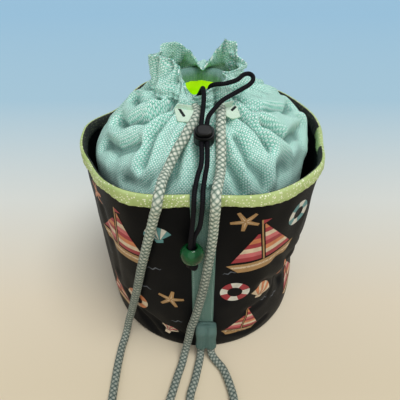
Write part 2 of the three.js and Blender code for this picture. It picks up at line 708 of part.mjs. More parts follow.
// Tab: cloth folded round both rope ends, against the wall over the base
function bottomTab() {
  const half = ropeEndOut + ropeRadius + cordFit + tabWall;
  const outline = new THREE.Shape();
  const [low, high] = [tabFloorGap, stripFoot - seamGap];
  outline.moveTo(-half + tabCorner, low);
  outline.lineTo(half - tabCorner, low);
  outline.absarc(half - tabCorner, low + tabCorner, tabCorner, front, 0, false);
  outline.lineTo(half, high);
  outline.lineTo(-half, high);
  outline.lineTo(-half, low + tabCorner);
  outline.absarc(-half + tabCorner, low + tabCorner, tabCorner, -Math.PI, front, false);
  const block = new THREE.ExtrudeGeometry(outline, { depth: tabDepth, bevelEnabled: false, curveSegments: 4 });
  block.rotateX(Math.PI / 2).translate(tabCentre, tabBack, 0);
  const holes = [-ropeEndOut, ropeEndOut].map((side) => cordSolid([
    [tabCentre + side, ropeEndY, 0], [tabCentre + side, ropeEndY, ropeEndZ + seamGap],
  ], ropeRadius + cordFit, 12));
  return cut(block, ...holes);
}

// Eyelet patches: flat cloth over the gathers beside the rope, each with a stitched slot
function patchRow(theta, row, lift) {
  const crest = shifted(bagSection(theta, 1), lift);
  return turned([crest[bellySteps + shoulderSteps - 2 + row]], theta)[0];
}

function eyeletPatch(spread, slotAngle, slotTurn) {
  const steps = 5;
  const [face, back] = [patchGap + patchCloth, patchGap].map((lift) => (
    Array.from({ length: steps + 1 }, (_, i) => (
      spread.map(([from, to], row) => patchRow(THREE.MathUtils.lerp(from, to, i / steps) * DEGREE, row, lift))
    ))
  ));
  const theta = slotAngle * DEGREE;
  const [low, high] = [patchRow(theta, 0, patchGap), patchRow(theta, 1, patchGap)];
  const slot = slotCutter(patchSlotLength, patchSlotWidth, 4 * patchCloth).rotateY(slotTurn * DEGREE);
  const lean = Math.atan2(high.z - low.z, Math.hypot(low.x, low.y) - Math.hypot(high.x, high.y));
  slot.rotateX(lean - Math.PI / 2).rotateZ(theta - front);
  slot.translate(...low.lerp(high, 0.62).toArray());
  const rope = ropeExits.map((points) => cordSolid(points, ropeRadius + cordFit, 10));
  return cut(clothSolid(face, back, false), slot, ...rope);
}

function bagBody() {
  const cloth = clothRound(bagSection, canvas, fullTurn(bagColumns), true);
  const rope = ropeExits.map((points) => cordSolid(points, ropeRadius + cordFit, 10));
  const cord = drawcordExits.map((points) => cordSolid(points, drawcordRadius + cordFit, 10));
  return cut(cloth, ...rope, ...cord);
}

function lining() {
  const cloth = clothRound(liningSection, liningCloth, fullTurn(liningColumns), true);
  return cut(cloth, ...drawcordExits.map((points) => cordSolid(points, drawcordRadius + cordFit, 10)));
}

const baseOutline = (theta) => wallRadius(theta, 0) - wallCloth - seamGap;
const liningFoot = footRadius - canvas - liningSpace - liningCloth - 2 * seamGap;
const group = new THREE.Group();
group.add(lockGroup);

function add(name, geometry, look, parent = group) {
  const mesh = new THREE.Mesh(geometry, look);
  mesh.name = name;
  parent.add(mesh);
}

add('outer_base', panel(baseOutline, 0, baseBoard, wallColumns), printedCloth);
add('outer_wall', clothRound(wallSection, wallCloth, fullTurn(wallColumns), true), printedCloth);
add('rim_binding', ringSolid(bindingOutline, fullTurn(wallColumns)), greenTape);
add('bag_body', bagBody(), mintCanvas);
add('lining', lining(), limeLining);
add('lining_base', panel(() => liningFoot, footZ, footZ + liningCloth, liningColumns), limeLining);
add('front_strip', clothRound(stripSection, stripCloth, stripAngles(), false), paleMint);
add('bottom_tab', bottomTab(), paleMint);
add('eyelet_patch_left', eyeletPatch(leftPatch, -106, 40), paleMint);
add('eyelet_patch_right', eyeletPatch(rightPatch, -58, -10), paleMint);
add('shoulder_rope', cordSolid(ropeRoute, ropeRadius, 8), ropeBraid);
add('drawcord', joined(cordSolid(drawcordRoute, drawcordRadius, 8), knot()), blackCord);
add('bead', bead(), greenGlass);
add('lock_body', lockBody(), blackPlastic, lockGroup);
add('lock_plunger', lockPlunger(), blackPlastic, lockGroup);
add('lock_spring', lockSpring(), springSteel, lockGroup);

export default group;
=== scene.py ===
"""Looks of a drawstring bucket bag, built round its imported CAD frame. Metres, +Z up, front towards -Y."""

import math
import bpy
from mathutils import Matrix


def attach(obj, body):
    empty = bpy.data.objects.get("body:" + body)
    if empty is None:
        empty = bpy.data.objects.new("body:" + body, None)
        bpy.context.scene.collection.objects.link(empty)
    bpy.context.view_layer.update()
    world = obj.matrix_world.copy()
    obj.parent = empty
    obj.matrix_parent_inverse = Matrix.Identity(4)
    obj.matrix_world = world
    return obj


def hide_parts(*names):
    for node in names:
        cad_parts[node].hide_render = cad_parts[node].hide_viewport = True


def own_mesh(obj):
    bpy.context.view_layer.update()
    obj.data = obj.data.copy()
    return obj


bl_info = {
    "name": "Drawstring bucket bag",
    "version": (1, 0, 0),
    "blender": (4, 5, 0),
    "location": "View3D > Sidebar > Bag",
    "description": "Builds the cloth, cords, print and stage of a drawstring bucket bag",
    "category": "Object",
}

import bmesh
import bpy
import numpy as np
from bpy.props import FloatProperty, FloatVectorProperty, IntProperty, PointerProperty
from mathutils import Vector

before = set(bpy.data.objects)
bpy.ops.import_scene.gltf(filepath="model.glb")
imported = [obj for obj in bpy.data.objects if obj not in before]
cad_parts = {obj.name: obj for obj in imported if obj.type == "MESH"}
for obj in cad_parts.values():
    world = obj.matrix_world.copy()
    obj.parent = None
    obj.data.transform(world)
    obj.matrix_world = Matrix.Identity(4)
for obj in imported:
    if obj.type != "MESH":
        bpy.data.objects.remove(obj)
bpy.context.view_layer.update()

MM = 0.001
FRONT = -math.pi / 2
RIM_HEIGHT = 216
RIM_RADIUS = 118
BASE_RADIUS = 107
WALL_CLOTH = 1.6
CANVAS = 1.6
SHOULDER_TOP = 250
SHOULDER_FOOT = 190
NECK_RADIUS = 38.15
CASING_TOP = 262.75
CASING_FOOT = 251
RUFFLE_HEIGHT = 24
FLOOR_RADIUS = 98.4
FLOOR_CLOTH_TOP = 3.3

# mm round the cloth for one radian, where a piece is laid out flat
WALL_TURN = 113
CANVAS_TURN = 104
LINING_TURN = 100
# the same at the ruffle, for one degree
RUFFLE_TURN = 0.66

# angle in degrees, then how far the rim stands out and up, in mm
RIM_EDGE = [
    (-90, 1, 0), (-62, 11, 0), (-40, 9, -2), (-12, 0, -7), (18, 4, -8), (50, 5, -6), (85, -1, -8),
    (118, 2, -3), (150, -12, -14), (180, -3, -9), (210, -2, -6), (240, 9, -1),
]
# angle, rise over the casing, lean of the edge, fullness of the neck under it
RUFFLE_EDGE = [
    (-90, 1, -1, 0), (-70, 4, -1, 0), (-50, 8, -1, 0), (-30, 10, -9, 0), (-12, 12, -3, 0),
    (3, 11, 5, 1), (18, 16, -2, 1), (31, 25, 1, 0), (42, 27, -4, 0), (53, 19, -12, 0), (64, 9, -21, 0),
    (78, 3, -25, 0), (92, 5, -21, 0), (103, 10, -14, 0), (114, 16, -12, 0), (132, 23, -5, 1),
    (145, 23, 0, 2), (162, 18, 3, 4), (180, 20, 4, 5), (198, 22, -4, 4), (215, 20, -13, 2),
    (232, 12, -9, 0), (245, 8, -3, 0), (258, 4, -1, 0),
]
# line of (angle, share of the ruffle's height), width and depth in mm
RUFFLE_FOLDS = [
    ([(196, 0.0), (190, 0.5), (196, 1.0)], 4.5, 2.6), ([(222, 0.0), (226, 0.5), (222, 1.0)], 4.0, 2.8),
    ([(170, 0.1), (166, 0.6), (158, 1.0)], 4.5, 2.4), ([(128, 0.0), (124, 0.6), (126, 1.0)], 4.0, 2.4),
    ([(34, 0.55), (14, 0.5), (-8, 0.62)], 3.4, 2.2), ([(30, 0.2), (8, 0.16), (-14, 0.2)], 3.2, 2.0),
    ([(48, 0.2), (42, 0.6), (36, 1.0)], 4.0, 2.6), ([(-36, 0.0), (-30, 0.5), (-34, 1.0)], 3.6, 2.0),
    ([(240, 0.0), (248, 0.5), (240, 1.0)], 3.6, 2.0), ([(208, 0.3), (214, 0.75), (206, 1.0)], 4.0, 2.2),
]


def smooth(t):
    s = np.clip(t, 0, 1)
    return s * s * (3 - 2 * s)


def polar(r, theta, z):
    """Points at a radius, an angle and a height, in mm."""
    return np.stack(np.broadcast_arrays(r * np.cos(theta), r * np.sin(theta), z), -1)


def angle_from(theta, middle):
    """Angle past the middle one, between minus and plus half a turn."""
    return np.angle(np.exp(1j * (theta - middle)))


def full_turn(count):
    return np.linspace(0, 2 * math.pi, count, endpoint=False)


def round_u(theta, turn):
    """The u of each column of a closed grid, with the seam's second side."""
    return np.append(theta, 2 * math.pi) * turn


def distances(path):
    """Distance of each point of a path from its start."""
    return np.concatenate([[0], np.cumsum(np.linalg.norm(np.diff(path, axis=0), axis=1))])


def edge_at(edge, theta):
    """Each value of an edge list at the angles, eased from one entry to the next."""
    angles = np.array([e[0] for e in edge] + [edge[0][0] + 360], float)
    turn = (np.degrees(theta) - angles[0]) % 360 + angles[0]
    place = np.clip(np.searchsorted(angles, turn, side="right") - 1, 0, len(edge) - 1)
    share = smooth((turn - angles[place]) / (angles[place + 1] - angles[place]))
    values = []
    for k in range(1, len(edge[0])):
        column = np.array([e[k] for e in edge] + [edge[0][k]], float)
        values.append(column[place] * (1 - share) + column[place + 1] * share)
    return values


def lumps(x, y, seed, scale, octaves=3):
    """Soft noise from a few seeded waves, about -1 to 1."""
    rng = np.random.default_rng(seed)
    total = np.zeros(np.broadcast(x, y).shape)
    weight = 0
    for octave in range(octaves):
        for _ in range(4):
            angle = rng.uniform(0, 2 * math.pi)
            wave = 2 * math.pi * rng.uniform(0.7, 1.3) * 2**octave / scale
            total = total + 0.6**octave * np.sin(
                wave * (x * math.cos(angle) + y * math.sin(angle)) + rng.uniform(0, 2 * math.pi)
            )
            weight += 0.6**octave
    return total / weight * 1.6


def crease(x, y, line, width, depth, ridge=1.7):
    """Valley along a polyline with a soft ridge on each side."""
    near = np.full(np.broadcast(x, y).shape, 1e9)
    for (ax, ay), (bx, by) in zip(line[:-1], line[1:]):
        dx, dy = bx - ax, by - ay
        t = np.clip(((x - ax) * dx + (y - ay) * dy) / (dx * dx + dy * dy), 0, 1)
        near = np.minimum(near, np.hypot(x - ax - t * dx, y - ay - t * dy))
    s = near / width
    return -depth * (1 - ridge * s * s) * np.exp(-s * s)


def finished_mesh(name, vertices, faces, uvs=None, smooth_faces=True):
    """Mesh object from arrays; uvs has one row for each corner of each face."""
    mesh = bpy.data.meshes.new(name)
    mesh.from_pydata([tuple(v) for v in np.asarray(vertices, float)], [], [tuple(f) for f in faces])
    if uvs is not None:
        layer = mesh.uv_layers.new(name="UVMap")
        layer.data.foreach_set("uv", np.asarray(uvs, np.float32).ravel())
    mesh.polygons.foreach_set("use_smooth", [smooth_faces] * len(mesh.polygons))
    mesh.update()
    made = bpy.data.objects.new(name, mesh)
    bpy.context.scene.collection.objects.link(made)
    return made


def grid_faces(across, along, closed):
    """Quads of a grid with the corners' (i, j) steps, for uvs that don't wrap."""
    last = across if closed else across - 1
    i, j = np.meshgrid(np.arange(last), np.arange(along - 1), indexing="ij")
    i, j = i.ravel(), j.ravel()
    corners = np.stack([np.stack([i + a, j + b], 1) for a, b in ((0, 0), (1, 0), (1, 1), (0, 1))], 1)
    faces = (corners[..., 0] % across) * along + corners[..., 1]
    return faces, corners


def hollows(points):
    """How far each point of a closed grid lies in a fold: 0 on plain cloth, 1 in a deep valley."""
    around = np.roll(points, -1, 0) - np.roll(points, 1, 0)
    normal = np.cross(around, np.gradient(points, axis=1))
    normal /= np.maximum(np.linalg.norm(normal, axis=-1), 1e-9)[..., None]
    calm = points
    for _ in range(26):
        calm = (np.roll(calm, 1, 0) + 2 * calm + np.roll(calm, -1, 0)) / 4
        wide = np.concatenate([calm[:, :1], calm, calm[:, -1:]], 1)
        calm = (wide[:, :-2] + 2 * calm + wide[:, 2:]) / 4
    return np.clip(((calm - points) * normal).sum(-1) / 1.5, 0, 1)


def cloth_grid(name, points, u, v, closed, thickness=0.0, share=None):
    """Cloth through a grid of points (across, along, 3) in mm, with uvs in metres.

    share tells at each point how far the cloth is drawn together across, for its weave; the layer also keeps
    how deep each point lies in a fold, for painted shade in the folds.
    """
    across, along = points.shape[:2]
    faces, corners = grid_faces(across, along, closed)
    uv = np.stack([u[corners[..., 0]], v[corners[..., 1]]], -1) * MM
    made = finished_mesh(name, points.reshape(-1, 3) * MM, faces, uv.reshape(-1, 2))
    if share is not None:
        both = np.stack([share, hollows(points)], -1)[corners[..., 0] % across, corners[..., 1]]
        layer = made.data.uv_layers.new(name="Share")
        layer.data.foreach_set("uv", both.astype(np.float32).ravel())
    if thickness:
        solid = made.modifiers.new("thickness", "SOLIDIFY")
        solid.thickness = thickness * MM
        solid.offset = -1
        apply_modifiers(made)
    return made


def apply_modifiers(made):
    depsgraph = bpy.context.evaluated_depsgraph_get()
    mesh = bpy.data.meshes.new_from_object(made.evaluated_get(depsgraph))
    made.modifiers.clear()
    made.data = mesh


def route_through(points, spacing):
    """Even points along a smooth curve through the listed ones, in mm."""
    p = np.array(points, float)
    p = np.vstack([2 * p[0] - p[1], p, 2 * p[-1] - p[-2]])
    out = []
    for a, b, c, d in zip(p[:-3], p[1:-2], p[2:-1], p[3:]):
        t0 = 0
        t1 = t0 + max(np.linalg.norm(b - a), 1e-6) ** 0.5
        t2 = t1 + max(np.linalg.norm(c - b), 1e-6) ** 0.5
        t3 = t2 + max(np.linalg.norm(d - c), 1e-6) ** 0.5
        t = np.linspace(t1, t2, 24, endpoint=False)[:, None]
        ab = (t1 - t) / (t1 - t0) * a + (t - t0) / (t1 - t0) * b
        bc = (t2 - t) / (t2 - t1) * b + (t - t1) / (t2 - t1) * c
        cd = (t3 - t) / (t3 - t2) * c + (t - t2) / (t3 - t2) * d
        abc = (t2 - t) / (t2 - t0) * ab + (t - t0) / (t2 - t0) * bc
        bcd = (t3 - t) / (t3 - t1) * bc + (t - t1) / (t3 - t1) * cd
        out.append((t2 - t) / (t2 - t1) * abc + (t - t1) / (t2 - t1) * bcd)
    out = np.vstack([*out, p[-2][None]])
    far = distances(out)
    steps = np.linspace(0, far[-1], int(far[-1] / spacing) + 1)
    return np.stack([np.interp(steps, far, out[:, k]) for k in range(3)], 1)


def tube(name, path, radius_at, sides):
    """Closed tube along a path in mm; radius_at(distance, turn) gives its surface."""
    tangents = np.gradient(path, axis=0)
    tangents /= np.linalg.norm(tangents, axis=1)[:, None]
    normal = np.cross(tangents[0], [0, 0, 1.0])
    if np.linalg.norm(normal) < 1e-3:
        normal = np.array([1.0, 0, 0])
    normals = []
    for t in tangents:
        normal = normal - t * (normal @ t)
        normal = normal / np.linalg.norm(normal)
        normals.append(normal)
    normals = np.array(normals)
    sideways = np.cross(tangents, normals)
    far = distances(path)
    turn = full_turn(sides)
    s, a = np.meshgrid(far, turn, indexing="ij")
    r = radius_at(s, a)
    ring = path[:, None] + r[..., None] * (
        np.cos(a)[..., None] * normals[:, None] + np.sin(a)[..., None] * sideways[:, None]
    )
    count = len(path)
    i, j = np.meshgrid(np.arange(count - 1), np.arange(sides), indexing="ij")
    i, j = i.ravel(), j.ravel()
    corners = np.stack([np.stack([i + p, j + q], 1) for p, q in ((0, 0), (0, 1), (1, 1), (1, 0))], 1)
    faces = [tuple(f) for f in corners[..., 0] * sides + corners[..., 1] % sides]
    uv = np.stack([far[corners[..., 0]] * MM, corners[..., 1] / sides], -1).reshape(-1, 2)
    faces.append(tuple(range(sides))[::-1])
    faces.append(tuple((count - 1) * sides + k for k in range(sides)))
    uv = np.vstack([uv, np.zeros((2 * sides, 2))])
    return finished_mesh(name, ring.reshape(-1, 3) * MM, faces, uv)


# the drawn cloth's threads get narrower towards the neck in steps of this factor
DRAWN_STEP = 1.4


class Look:
    """Small helper that adds shader nodes to a new material."""

    def __init__(self, name, colour, roughness, **inputs):
        self.material = bpy.data.materials.new(name)
        self.material.use_nodes = True
        self.nodes = self.material.node_tree.nodes
        self.shader = self.nodes["Principled BSDF"]
        self.shader.inputs["Base Color"].default_value = (*colour, 1)
        self.shader.inputs["Roughness"].default_value = roughness
        for key, value in inputs.items():
            self.shader.inputs[key.replace("_", " ")].default_value = value

    def join(self, source, target):
        self.material.node_tree.links.new(source, target)

    def add(self, kind, **settings):
        node = self.nodes.new(kind)
        for key, value in settings.items():
            setattr(node, key, value)
        return node

    def math(self, operation, a, b=None, clamp=False):
        node = self.add("ShaderNodeMath", operation=operation, use_clamp=clamp)
        for value, socket in zip((a, b), node.inputs):
            if value is None:
                continue
            if isinstance(value, (int, float)):
                socket.default_value = value
            else:
                self.join(value, socket)
        return node.outputs[0]

    def split(self, source):
        node = self.add("ShaderNodeSeparateXYZ")
        self.join(source, node.inputs[0])
        return tuple(node.outputs)

    def uv(self, layer="UVMap"):
        """A uv layer split in two: metres across and along, or how drawn in and how deep the cloth is."""
        return self.split(self.add("ShaderNodeUVMap", uv_map=layer).outputs[0])[:2]

    def place(self):
        """Place on the object in metres, as x, y and z."""
        return self.split(self.add("ShaderNodeTexCoord").outputs["Object"])

    def noise(self, scale, detail=3, vector=None, roughness=0.5):
        node = self.add("ShaderNodeTexNoise")
        node.inputs["Scale"].default_value = scale
        node.inputs["Detail"].default_value = detail
        node.inputs["Roughness"].default_value = roughness
        if vector is None:
            vector = self.add("ShaderNodeTexCoord").outputs["Object"]
        self.join(vector, node.inputs["Vector"])
        return node.outputs["Fac"]

    def ramp(self, factor, stops):
        node = self.add("ShaderNodeValToRGB")
        elements = node.color_ramp.elements
        while len(elements) < len(stops):
            elements.new(0.5)
        for element, (place, colour) in zip(elements, stops):
            element.position = place
            element.color = (*colour, 1)
        self.join(factor, node.inputs[0])
        return node.outputs[0]

    def mix(self, factor, a, b):
        node = self.add("ShaderNodeMix", data_type="RGBA")
        for value, socket in ((factor, node.inputs[0]), (a, node.inputs[6]), (b, node.inputs[7])):
            if isinstance(value, tuple):
                socket.default_value = (*value, 1)
            elif isinstance(value, (int, float)):
                socket.default_value = value
            else:
                self.join(value, socket)
        return node.outputs[2]

    def colour(self, source):
        self.join(source, self.shader.inputs["Base Color"])

    def bump(self, height, distance, strength=1.0):
        node = self.add("ShaderNodeBump")
        node.inputs["Strength"].default_value = strength
        node.inputs["Distance"].default_value = distance
        self.join(height, node.inputs["Height"])
        self.join(node.outputs[0], self.shader.inputs["Normal"])

    def threads(self, a, b):
        """Whether the upright thread is on top, and the height of the two threads, in cells of size 1."""
        odd = self.math("ADD", self.math("FLOOR", a), self.math("FLOOR", b))
        over = self.math("ABSOLUTE", self.math("MODULO", odd, 2))
        along = self.math("ABSOLUTE", self.math("SINE", self.math("MULTIPLY", a, math.pi)))
        across = self.math("ABSOLUTE", self.math("SINE", self.math("MULTIPLY", b, math.pi)))
        return over, along, across

    def basket(self, cell, drawn=False):
        """Basket weave with uneven threads: its height, and where the upright thread is on top."""
        u, v = self.uv()
        if drawn:
            uneven = self.math("ADD", 0.9, self.math("MULTIPLY", self.noise(90, 2), 0.2))
            ragged = self.math("MULTIPLY", self.uv("Share")[0], uneven)
            level = self.math("FLOOR", self.math("ADD", self.math("LOGARITHM", ragged, DRAWN_STEP), 0.5))
            u = self.math("MULTIPLY", u, self.math("POWER", DRAWN_STEP, level))
        wobble = self.math("MULTIPLY", self.math("SUBTRACT", self.noise(70, 3), 0.5), 1.4)
        drift = self.math("MULTIPLY", self.math("SUBTRACT", self.noise(43, 3), 0.5), 1.6)
        a = self.math("ADD", self.math("MULTIPLY", u, 1 / cell), wobble)
        b = self.math("ADD", self.math("MULTIPLY", v, 1 / cell), drift)
        over, along, across = self.threads(a, b)
        dip = self.math("POWER", self.math("MULTIPLY", along, across), 0.45)
        return self.math("MULTIPLY", dip, self.math("ADD", 0.72, self.math("MULTIPLY", over, 0.28))), over

    def weave(self, cell):
        """Height of a basket weave, 0 between the threads and 1 on their crowns."""
        u, v = self.uv()
        a = self.math("MULTIPLY", u, 1 / cell)
        b = self.math("MULTIPLY", v, 1 / cell)
        over, along, across = self.threads(a, b)
        under = self.math("SUBTRACT", 1.0, over)
        crown = self.math("ADD", self.math("MULTIPLY", along, over), self.math("MULTIPLY", across, under))
        dip = self.math("MULTIPLY", along, across)
        return self.math("MULTIPLY", self.math("POWER", crown, 0.7), self.math("POWER", dip, 0.5))


def dress(piece, look):
    """Sets a piece's one material."""
    piece.data.materials.clear()
    piece.data.materials.append(look.material)


def give(made, look, body="bag", replaces=()):
    """Material, body and the CAD nodes a piece stands for."""
    dress(made, look)
    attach(made, body)
    if replaces:
        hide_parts(*replaces)
    return made


class BagStageSettings(bpy.types.PropertyGroup):
    """Camera, floor and light."""

    lens: FloatProperty(name="Lens", description="Focal length in mm", default=37.8, min=10)
    pitch: FloatProperty(
        name="Pitch", description="How far the camera looks down",
        default=math.radians(38.73), subtype="ANGLE",
    )
    camera_place: FloatVectorProperty(
        name="Camera", description="Camera position",
        default=(0, -0.372, 0.4157), subtype="TRANSLATION", unit="LENGTH",
    )
    key_power: FloatProperty(
        name="Key light", description="Strength of the main light in W per square metre", default=1.65, min=0,
    )
    sky: FloatProperty(name="Sky", description="Strength of the even light", default=0.35, min=0)


class BagClothSettings(bpy.types.PropertyGroup):
    """Sizes of the cloth pieces, in metres."""

    weave_cell: FloatProperty(
        name="Weave", description="Width of one thread", default=0.0014, unit="LENGTH",
    )
    gather_depth: FloatProperty(
        name="Gathers", description="Depth of the pleats at the neck", default=0.006, unit="LENGTH",
    )
    columns: IntProperty(name="Columns", description="Steps round the canvas bag", default=420, min=60)
    rows: IntProperty(name="Rows", description="Steps up the canvas bag", default=104, min=30)


class BagCordSettings(bpy.types.PropertyGroup):
    """Sizes of the rope and the drawcord, in metres."""

    rope: FloatProperty(name="Rope", description="Rope diameter", default=0.0085, unit="LENGTH")
    drawcord: FloatProperty(name="Drawcord", description="Drawcord diameter", default=0.004, unit="LENGTH")


def rim_top(theta):
    return RIM_HEIGHT + edge_at(RIM_EDGE, theta)[1]


# angle in degrees, height, depth, half width in degrees and half height of the wall's two large dents
WALL_DENTS = [(-30, 66, 10, 24, 36), (-118, 26, 3, 16, 20)]
# line of (x round the front, height), width, depth in mm
WALL_FOLDS = [
    ([(62, 96), (84, 84), (104, 58)], 9, 3.2),
    ([(48, 58), (76, 62), (96, 96)], 7, 1.8),
    ([(70, 130), (92, 112), (112, 118)], 8, 2.0),
    ([(-62, 46), (-40, 26), (-16, 18)], 7, 2.2),
    ([(-84, 60), (-66, 30), (-50, 10)], 8, 2.4),
    ([(28, 26), (52, 16), (76, 24)], 6, 1.8),
    ([(-96, 170), (-90, 120), (-98, 80)], 10, 2.2),
    ([(120, 190), (112, 150), (118, 110)], 10, 2.4),
    ([(-40, 200), (-44, 160)], 12, 1.2),
    ([(24, 204), (30, 150), (26, 90)], 14, 1.2),
]


def wall_radius(theta, z):
    """Outer face of the printed wall, in mm."""
    skew = 5 * np.cos(theta - math.radians(-55))
    out, up = edge_at(RIM_EDGE, theta)
    rise = (np.maximum(z, 0) / (RIM_HEIGHT + up)) ** 0.7
    radius = (BASE_RADIUS + skew) * (1 - rise) + (RIM_RADIUS + out) * rise
    for angle, height, depth, wide, tall in WALL_DENTS:
        turn = np.degrees(angle_from(theta, math.radians(angle)))
        dent = np.exp(-((turn / wide) ** 2) - ((z - height) / tall) ** 2)
        radius = radius - depth * dent * smooth(z / height)
    x = angle_from(theta, FRONT) * WALL_TURN
    folds = sum(crease(x, z, line, width, depth, 0.9) for line, width, depth in WALL_FOLDS)
    folds = folds + 0.9 * lumps(x, z, 4, 90) * smooth(z / 40)
    calm = smooth(z / 12) * smooth((RIM_HEIGHT + up - z) / 14 + 0.15)
    return radius + folds * calm - 0.6 * smooth(1 - z / 6)


def wall_point(theta, z, lift=0.0):
    return polar(wall_radius(theta, z) + lift, theta, z)


def wall_grid(theta, heights):
    """Points of the wall at the angles, at shares of its own height."""
    t, h = np.meshgrid(theta, heights, indexing="ij")
    return wall_point(t, h * rim_top(t))


# the binding from its outer edge over the wall's top to its inner edge: mm out of the wall,
# share of its depth, mm up; and the v of each row
BINDING_PROFILE = [
    (1.2, -1.0, 0), (1.9, -0.93, 0), (2.15, -0.75, 0), (2.1, -0.5, 0), (2.0, -0.2, 0),
    (1.9, 0.0, 0.2), (1.3, 0.0, 1.5), (0.0, 0.0, 2.2), (-1.4, 0.0, 1.6), (-2.6, 0.0, 0.2),
    (-2.9, -0.3, 0), (-2.9, -0.7, 0), (-2.7, -1.0, 0),
]
BINDING_V = [-10, -9.3, -7.5, -5, -2, 0, 1, 2, 3, 4, 7, 11, 14]
# angle at which the binding's inner side is turned out to the light and keeps the front's colours; elsewhere
# the inner side is painted dark as painted shade
TURNED_OUT = 351


def printed_look():
    look = Look("printed_cloth", (0.004, 0.0045, 0.006), 0.5)
    look.shader.inputs["Specular IOR Level"].default_value = 0.07
    mottled = look.noise(14, 4)
    look.colour(look.ramp(mottled, [(0.3, (0.002, 0.0024, 0.003)), (0.75, (0.0055, 0.006, 0.0075))]))
    look.bump(look.weave(0.0007), 0.0001, 0.3)
    return look


class BAG_OT_wall(bpy.types.Operator):
    """Outer wall and the binding on its rim."""

    bl_idname = "bag.wall"
    bl_label = "Printed wall"

    def execute(self, context):
        theta = full_turn(420)
        heights = np.linspace(0, 0.997, 84)
        points = wall_grid(theta, heights)
        u = round_u(theta, WALL_TURN)
        wall = cloth_grid("printed_wall", points, u, heights * RIM_HEIGHT, True, WALL_CLOTH * 0.9)
        give(wall, printed_look(), replaces=["outer_wall"])
        dress(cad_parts["outer_base"], printed_look())
        self.binding()
        return {"FINISHED"}

    def binding(self):
        theta = full_turn(360)
        top = rim_top(theta)
        depth = 10 + 1.1 * np.sin(6 * theta + 0.6) + 0.7 * np.sin(13 * theta + 2)
        rows = []
        for out, share, up in BINDING_PROFILE:
            z = top + share * depth + up
            r = wall_radius(theta, np.minimum(z, top)) + out
            r = r + 0.25 * np.sin(theta * 97 + 3 * share) * (0.3 - share)
            r = r + 0.5 * np.sin(theta * 23 + 4 * share) * share * np.sign(out)
            rows.append(polar(r, theta, z))
        u = round_u(theta, RIM_RADIUS)
        tape = cloth_grid("binding", np.stack(rows, 1), u, np.array(BINDING_V), True, 0.5)
        look = Look("dotted_tape", (0.5, 0.66, 0.28), 0.72)
        dots = look.add("ShaderNodeTexVoronoi")
        dots.inputs["Scale"].default_value = 520
        dots.inputs["Randomness"].default_value = 0.75
        look.join(look.add("ShaderNodeUVMap", uv_map="UVMap").outputs[0], dots.inputs["Vector"])
        spot = look.math("LESS_THAN", dots.outputs["Distance"], 0.33)
        ground = look.ramp(look.noise(60), [(0.3, (0.4, 0.53, 0.18)), (0.7, (0.55, 0.68, 0.29))])
        front = look.mix(spot, ground, (0.88, 0.92, 0.68))
        # painted shade: the binding's inner side is a dark copy of its dotted tape
        inner_side_shade = look.mix(spot, (0.012, 0.013, 0.012), (0.1, 0.115, 0.06))
        u, v = look.uv()
        middle = RIM_RADIUS * MM * math.radians(TURNED_OUT)
        beside = look.math("ABSOLUTE", look.math("SUBTRACT", u, middle))
        turned_out = look.math("LESS_THAN", beside, 0.019)
        hidden = look.math("SUBTRACT", look.math("GREATER_THAN", v, 0.0025), turned_out)
        look.colour(look.mix(look.math("MAXIMUM", hidden, 0), front, inner_side_shade))
        look.bump(look.weave(0.0006), 0.0001, 0.4)
        give(tape, look, replaces=["rim_binding"])


def gather(theta, k=13):
    warped = theta + 0.13 * np.sin(2 * theta + 1)
    return 0.62 * np.cos(k * warped + 0.5) + 0.38 * np.cos(8 * warped + 2.1)


def fine_gather(theta):
    warped = theta + 0.05 * np.sin(3 * theta + 2)
    return np.cos(29 * warped + 1.2) * (0.65 + 0.35 * np.sin(5 * theta))


def belly_radius(theta):
    return RIM_RADIUS - WALL_CLOTH - 11.5 + np.minimum(edge_at(RIM_EDGE, theta)[0] + 3, 0)


# line of (angle in degrees, step from 0 at the belly to 1 at the neck), width in mm, depth in mm
SHOULDER_FOLDS = [
    ([(-34, 0.97), (-28, 0.72), (-12, 0.52), (2, 0.47)], 7.1, 8.8),
    ([(-44, 0.62), (-34, 0.4), (-16, 0.33), (-4, 0.36)], 6.2, 9.5),
    ([(-60, 0.97), (-54, 0.74), (-50, 0.45)], 5.7, 6.8),
    ([(-49, 0.95), (-40, 0.76), (-30, 0.66)], 4.8, 5.4),
    ([(-128, 0.97), (-136, 0.72), (-152, 0.55), (-166, 0.52)], 6.6, 8.8),
    ([(-117, 0.88), (-123, 0.62), (-121, 0.36)], 5.7, 6.8),
    ([(-146, 0.92), (-162, 0.76), (-184, 0.7)], 6.2, 8.1),
    ([(-130, 0.48), (-142, 0.34), (-158, 0.28)], 7.1, 6.1),
    ([(-79, 0.72), (-76, 0.42), (-70, 0.16)], 5.7, 6.1),
    ([(-66, 0.6), (-64, 0.38), (-58, 0.2)], 5.7, 5.4),
    ([(-101, 0.62), (-103, 0.34), (-108, 0.14)], 6.2, 6.1),
    ([(-91, 0.56), (-90, 0.3)], 4.8, 3.5),
    ([(-110, 0.3), (-118, 0.16), (-130, 0.12)], 6.6, 4.1),
    ([(-48, 0.24), (-34, 0.14), (-20, 0.14)], 6.6, 4.6),
    ([(16, 0.95), (22, 0.66), (36, 0.42)], 6.6, 7.4),
    ([(46, 0.95), (50, 0.6), (58, 0.3)], 6.6, 6.8),
    ([(76, 0.95), (80, 0.6), (78, 0.3)], 6.6, 6.8),
    ([(112, 0.95), (110, 0.6), (118, 0.3)], 6.6, 7.4),
    ([(142, 0.95), (138, 0.6), (140, 0.3)], 6.6, 6.8),
    ([(168, 0.9), (160, 0.55), (162, 0.25)], 6.6, 6.8),
]


def shoulder_point(theta, step):
    phi = step * math.pi / 2
    power = 2 / 1.75
    push = 4.5 * np.cos(theta - math.radians(-20)) * np.sin(2 * phi) ** 2
    radius = NECK_RADIUS + (belly_radius(theta) - NECK_RADIUS) * np.maximum(np.cos(phi), 0) ** power
    z = SHOULDER_FOOT + (SHOULDER_TOP - SHOULDER_FOOT) * np.maximum(np.sin(phi), 0) ** power
    return radius + push * np.cos(phi), z + push * np.sin(phi)


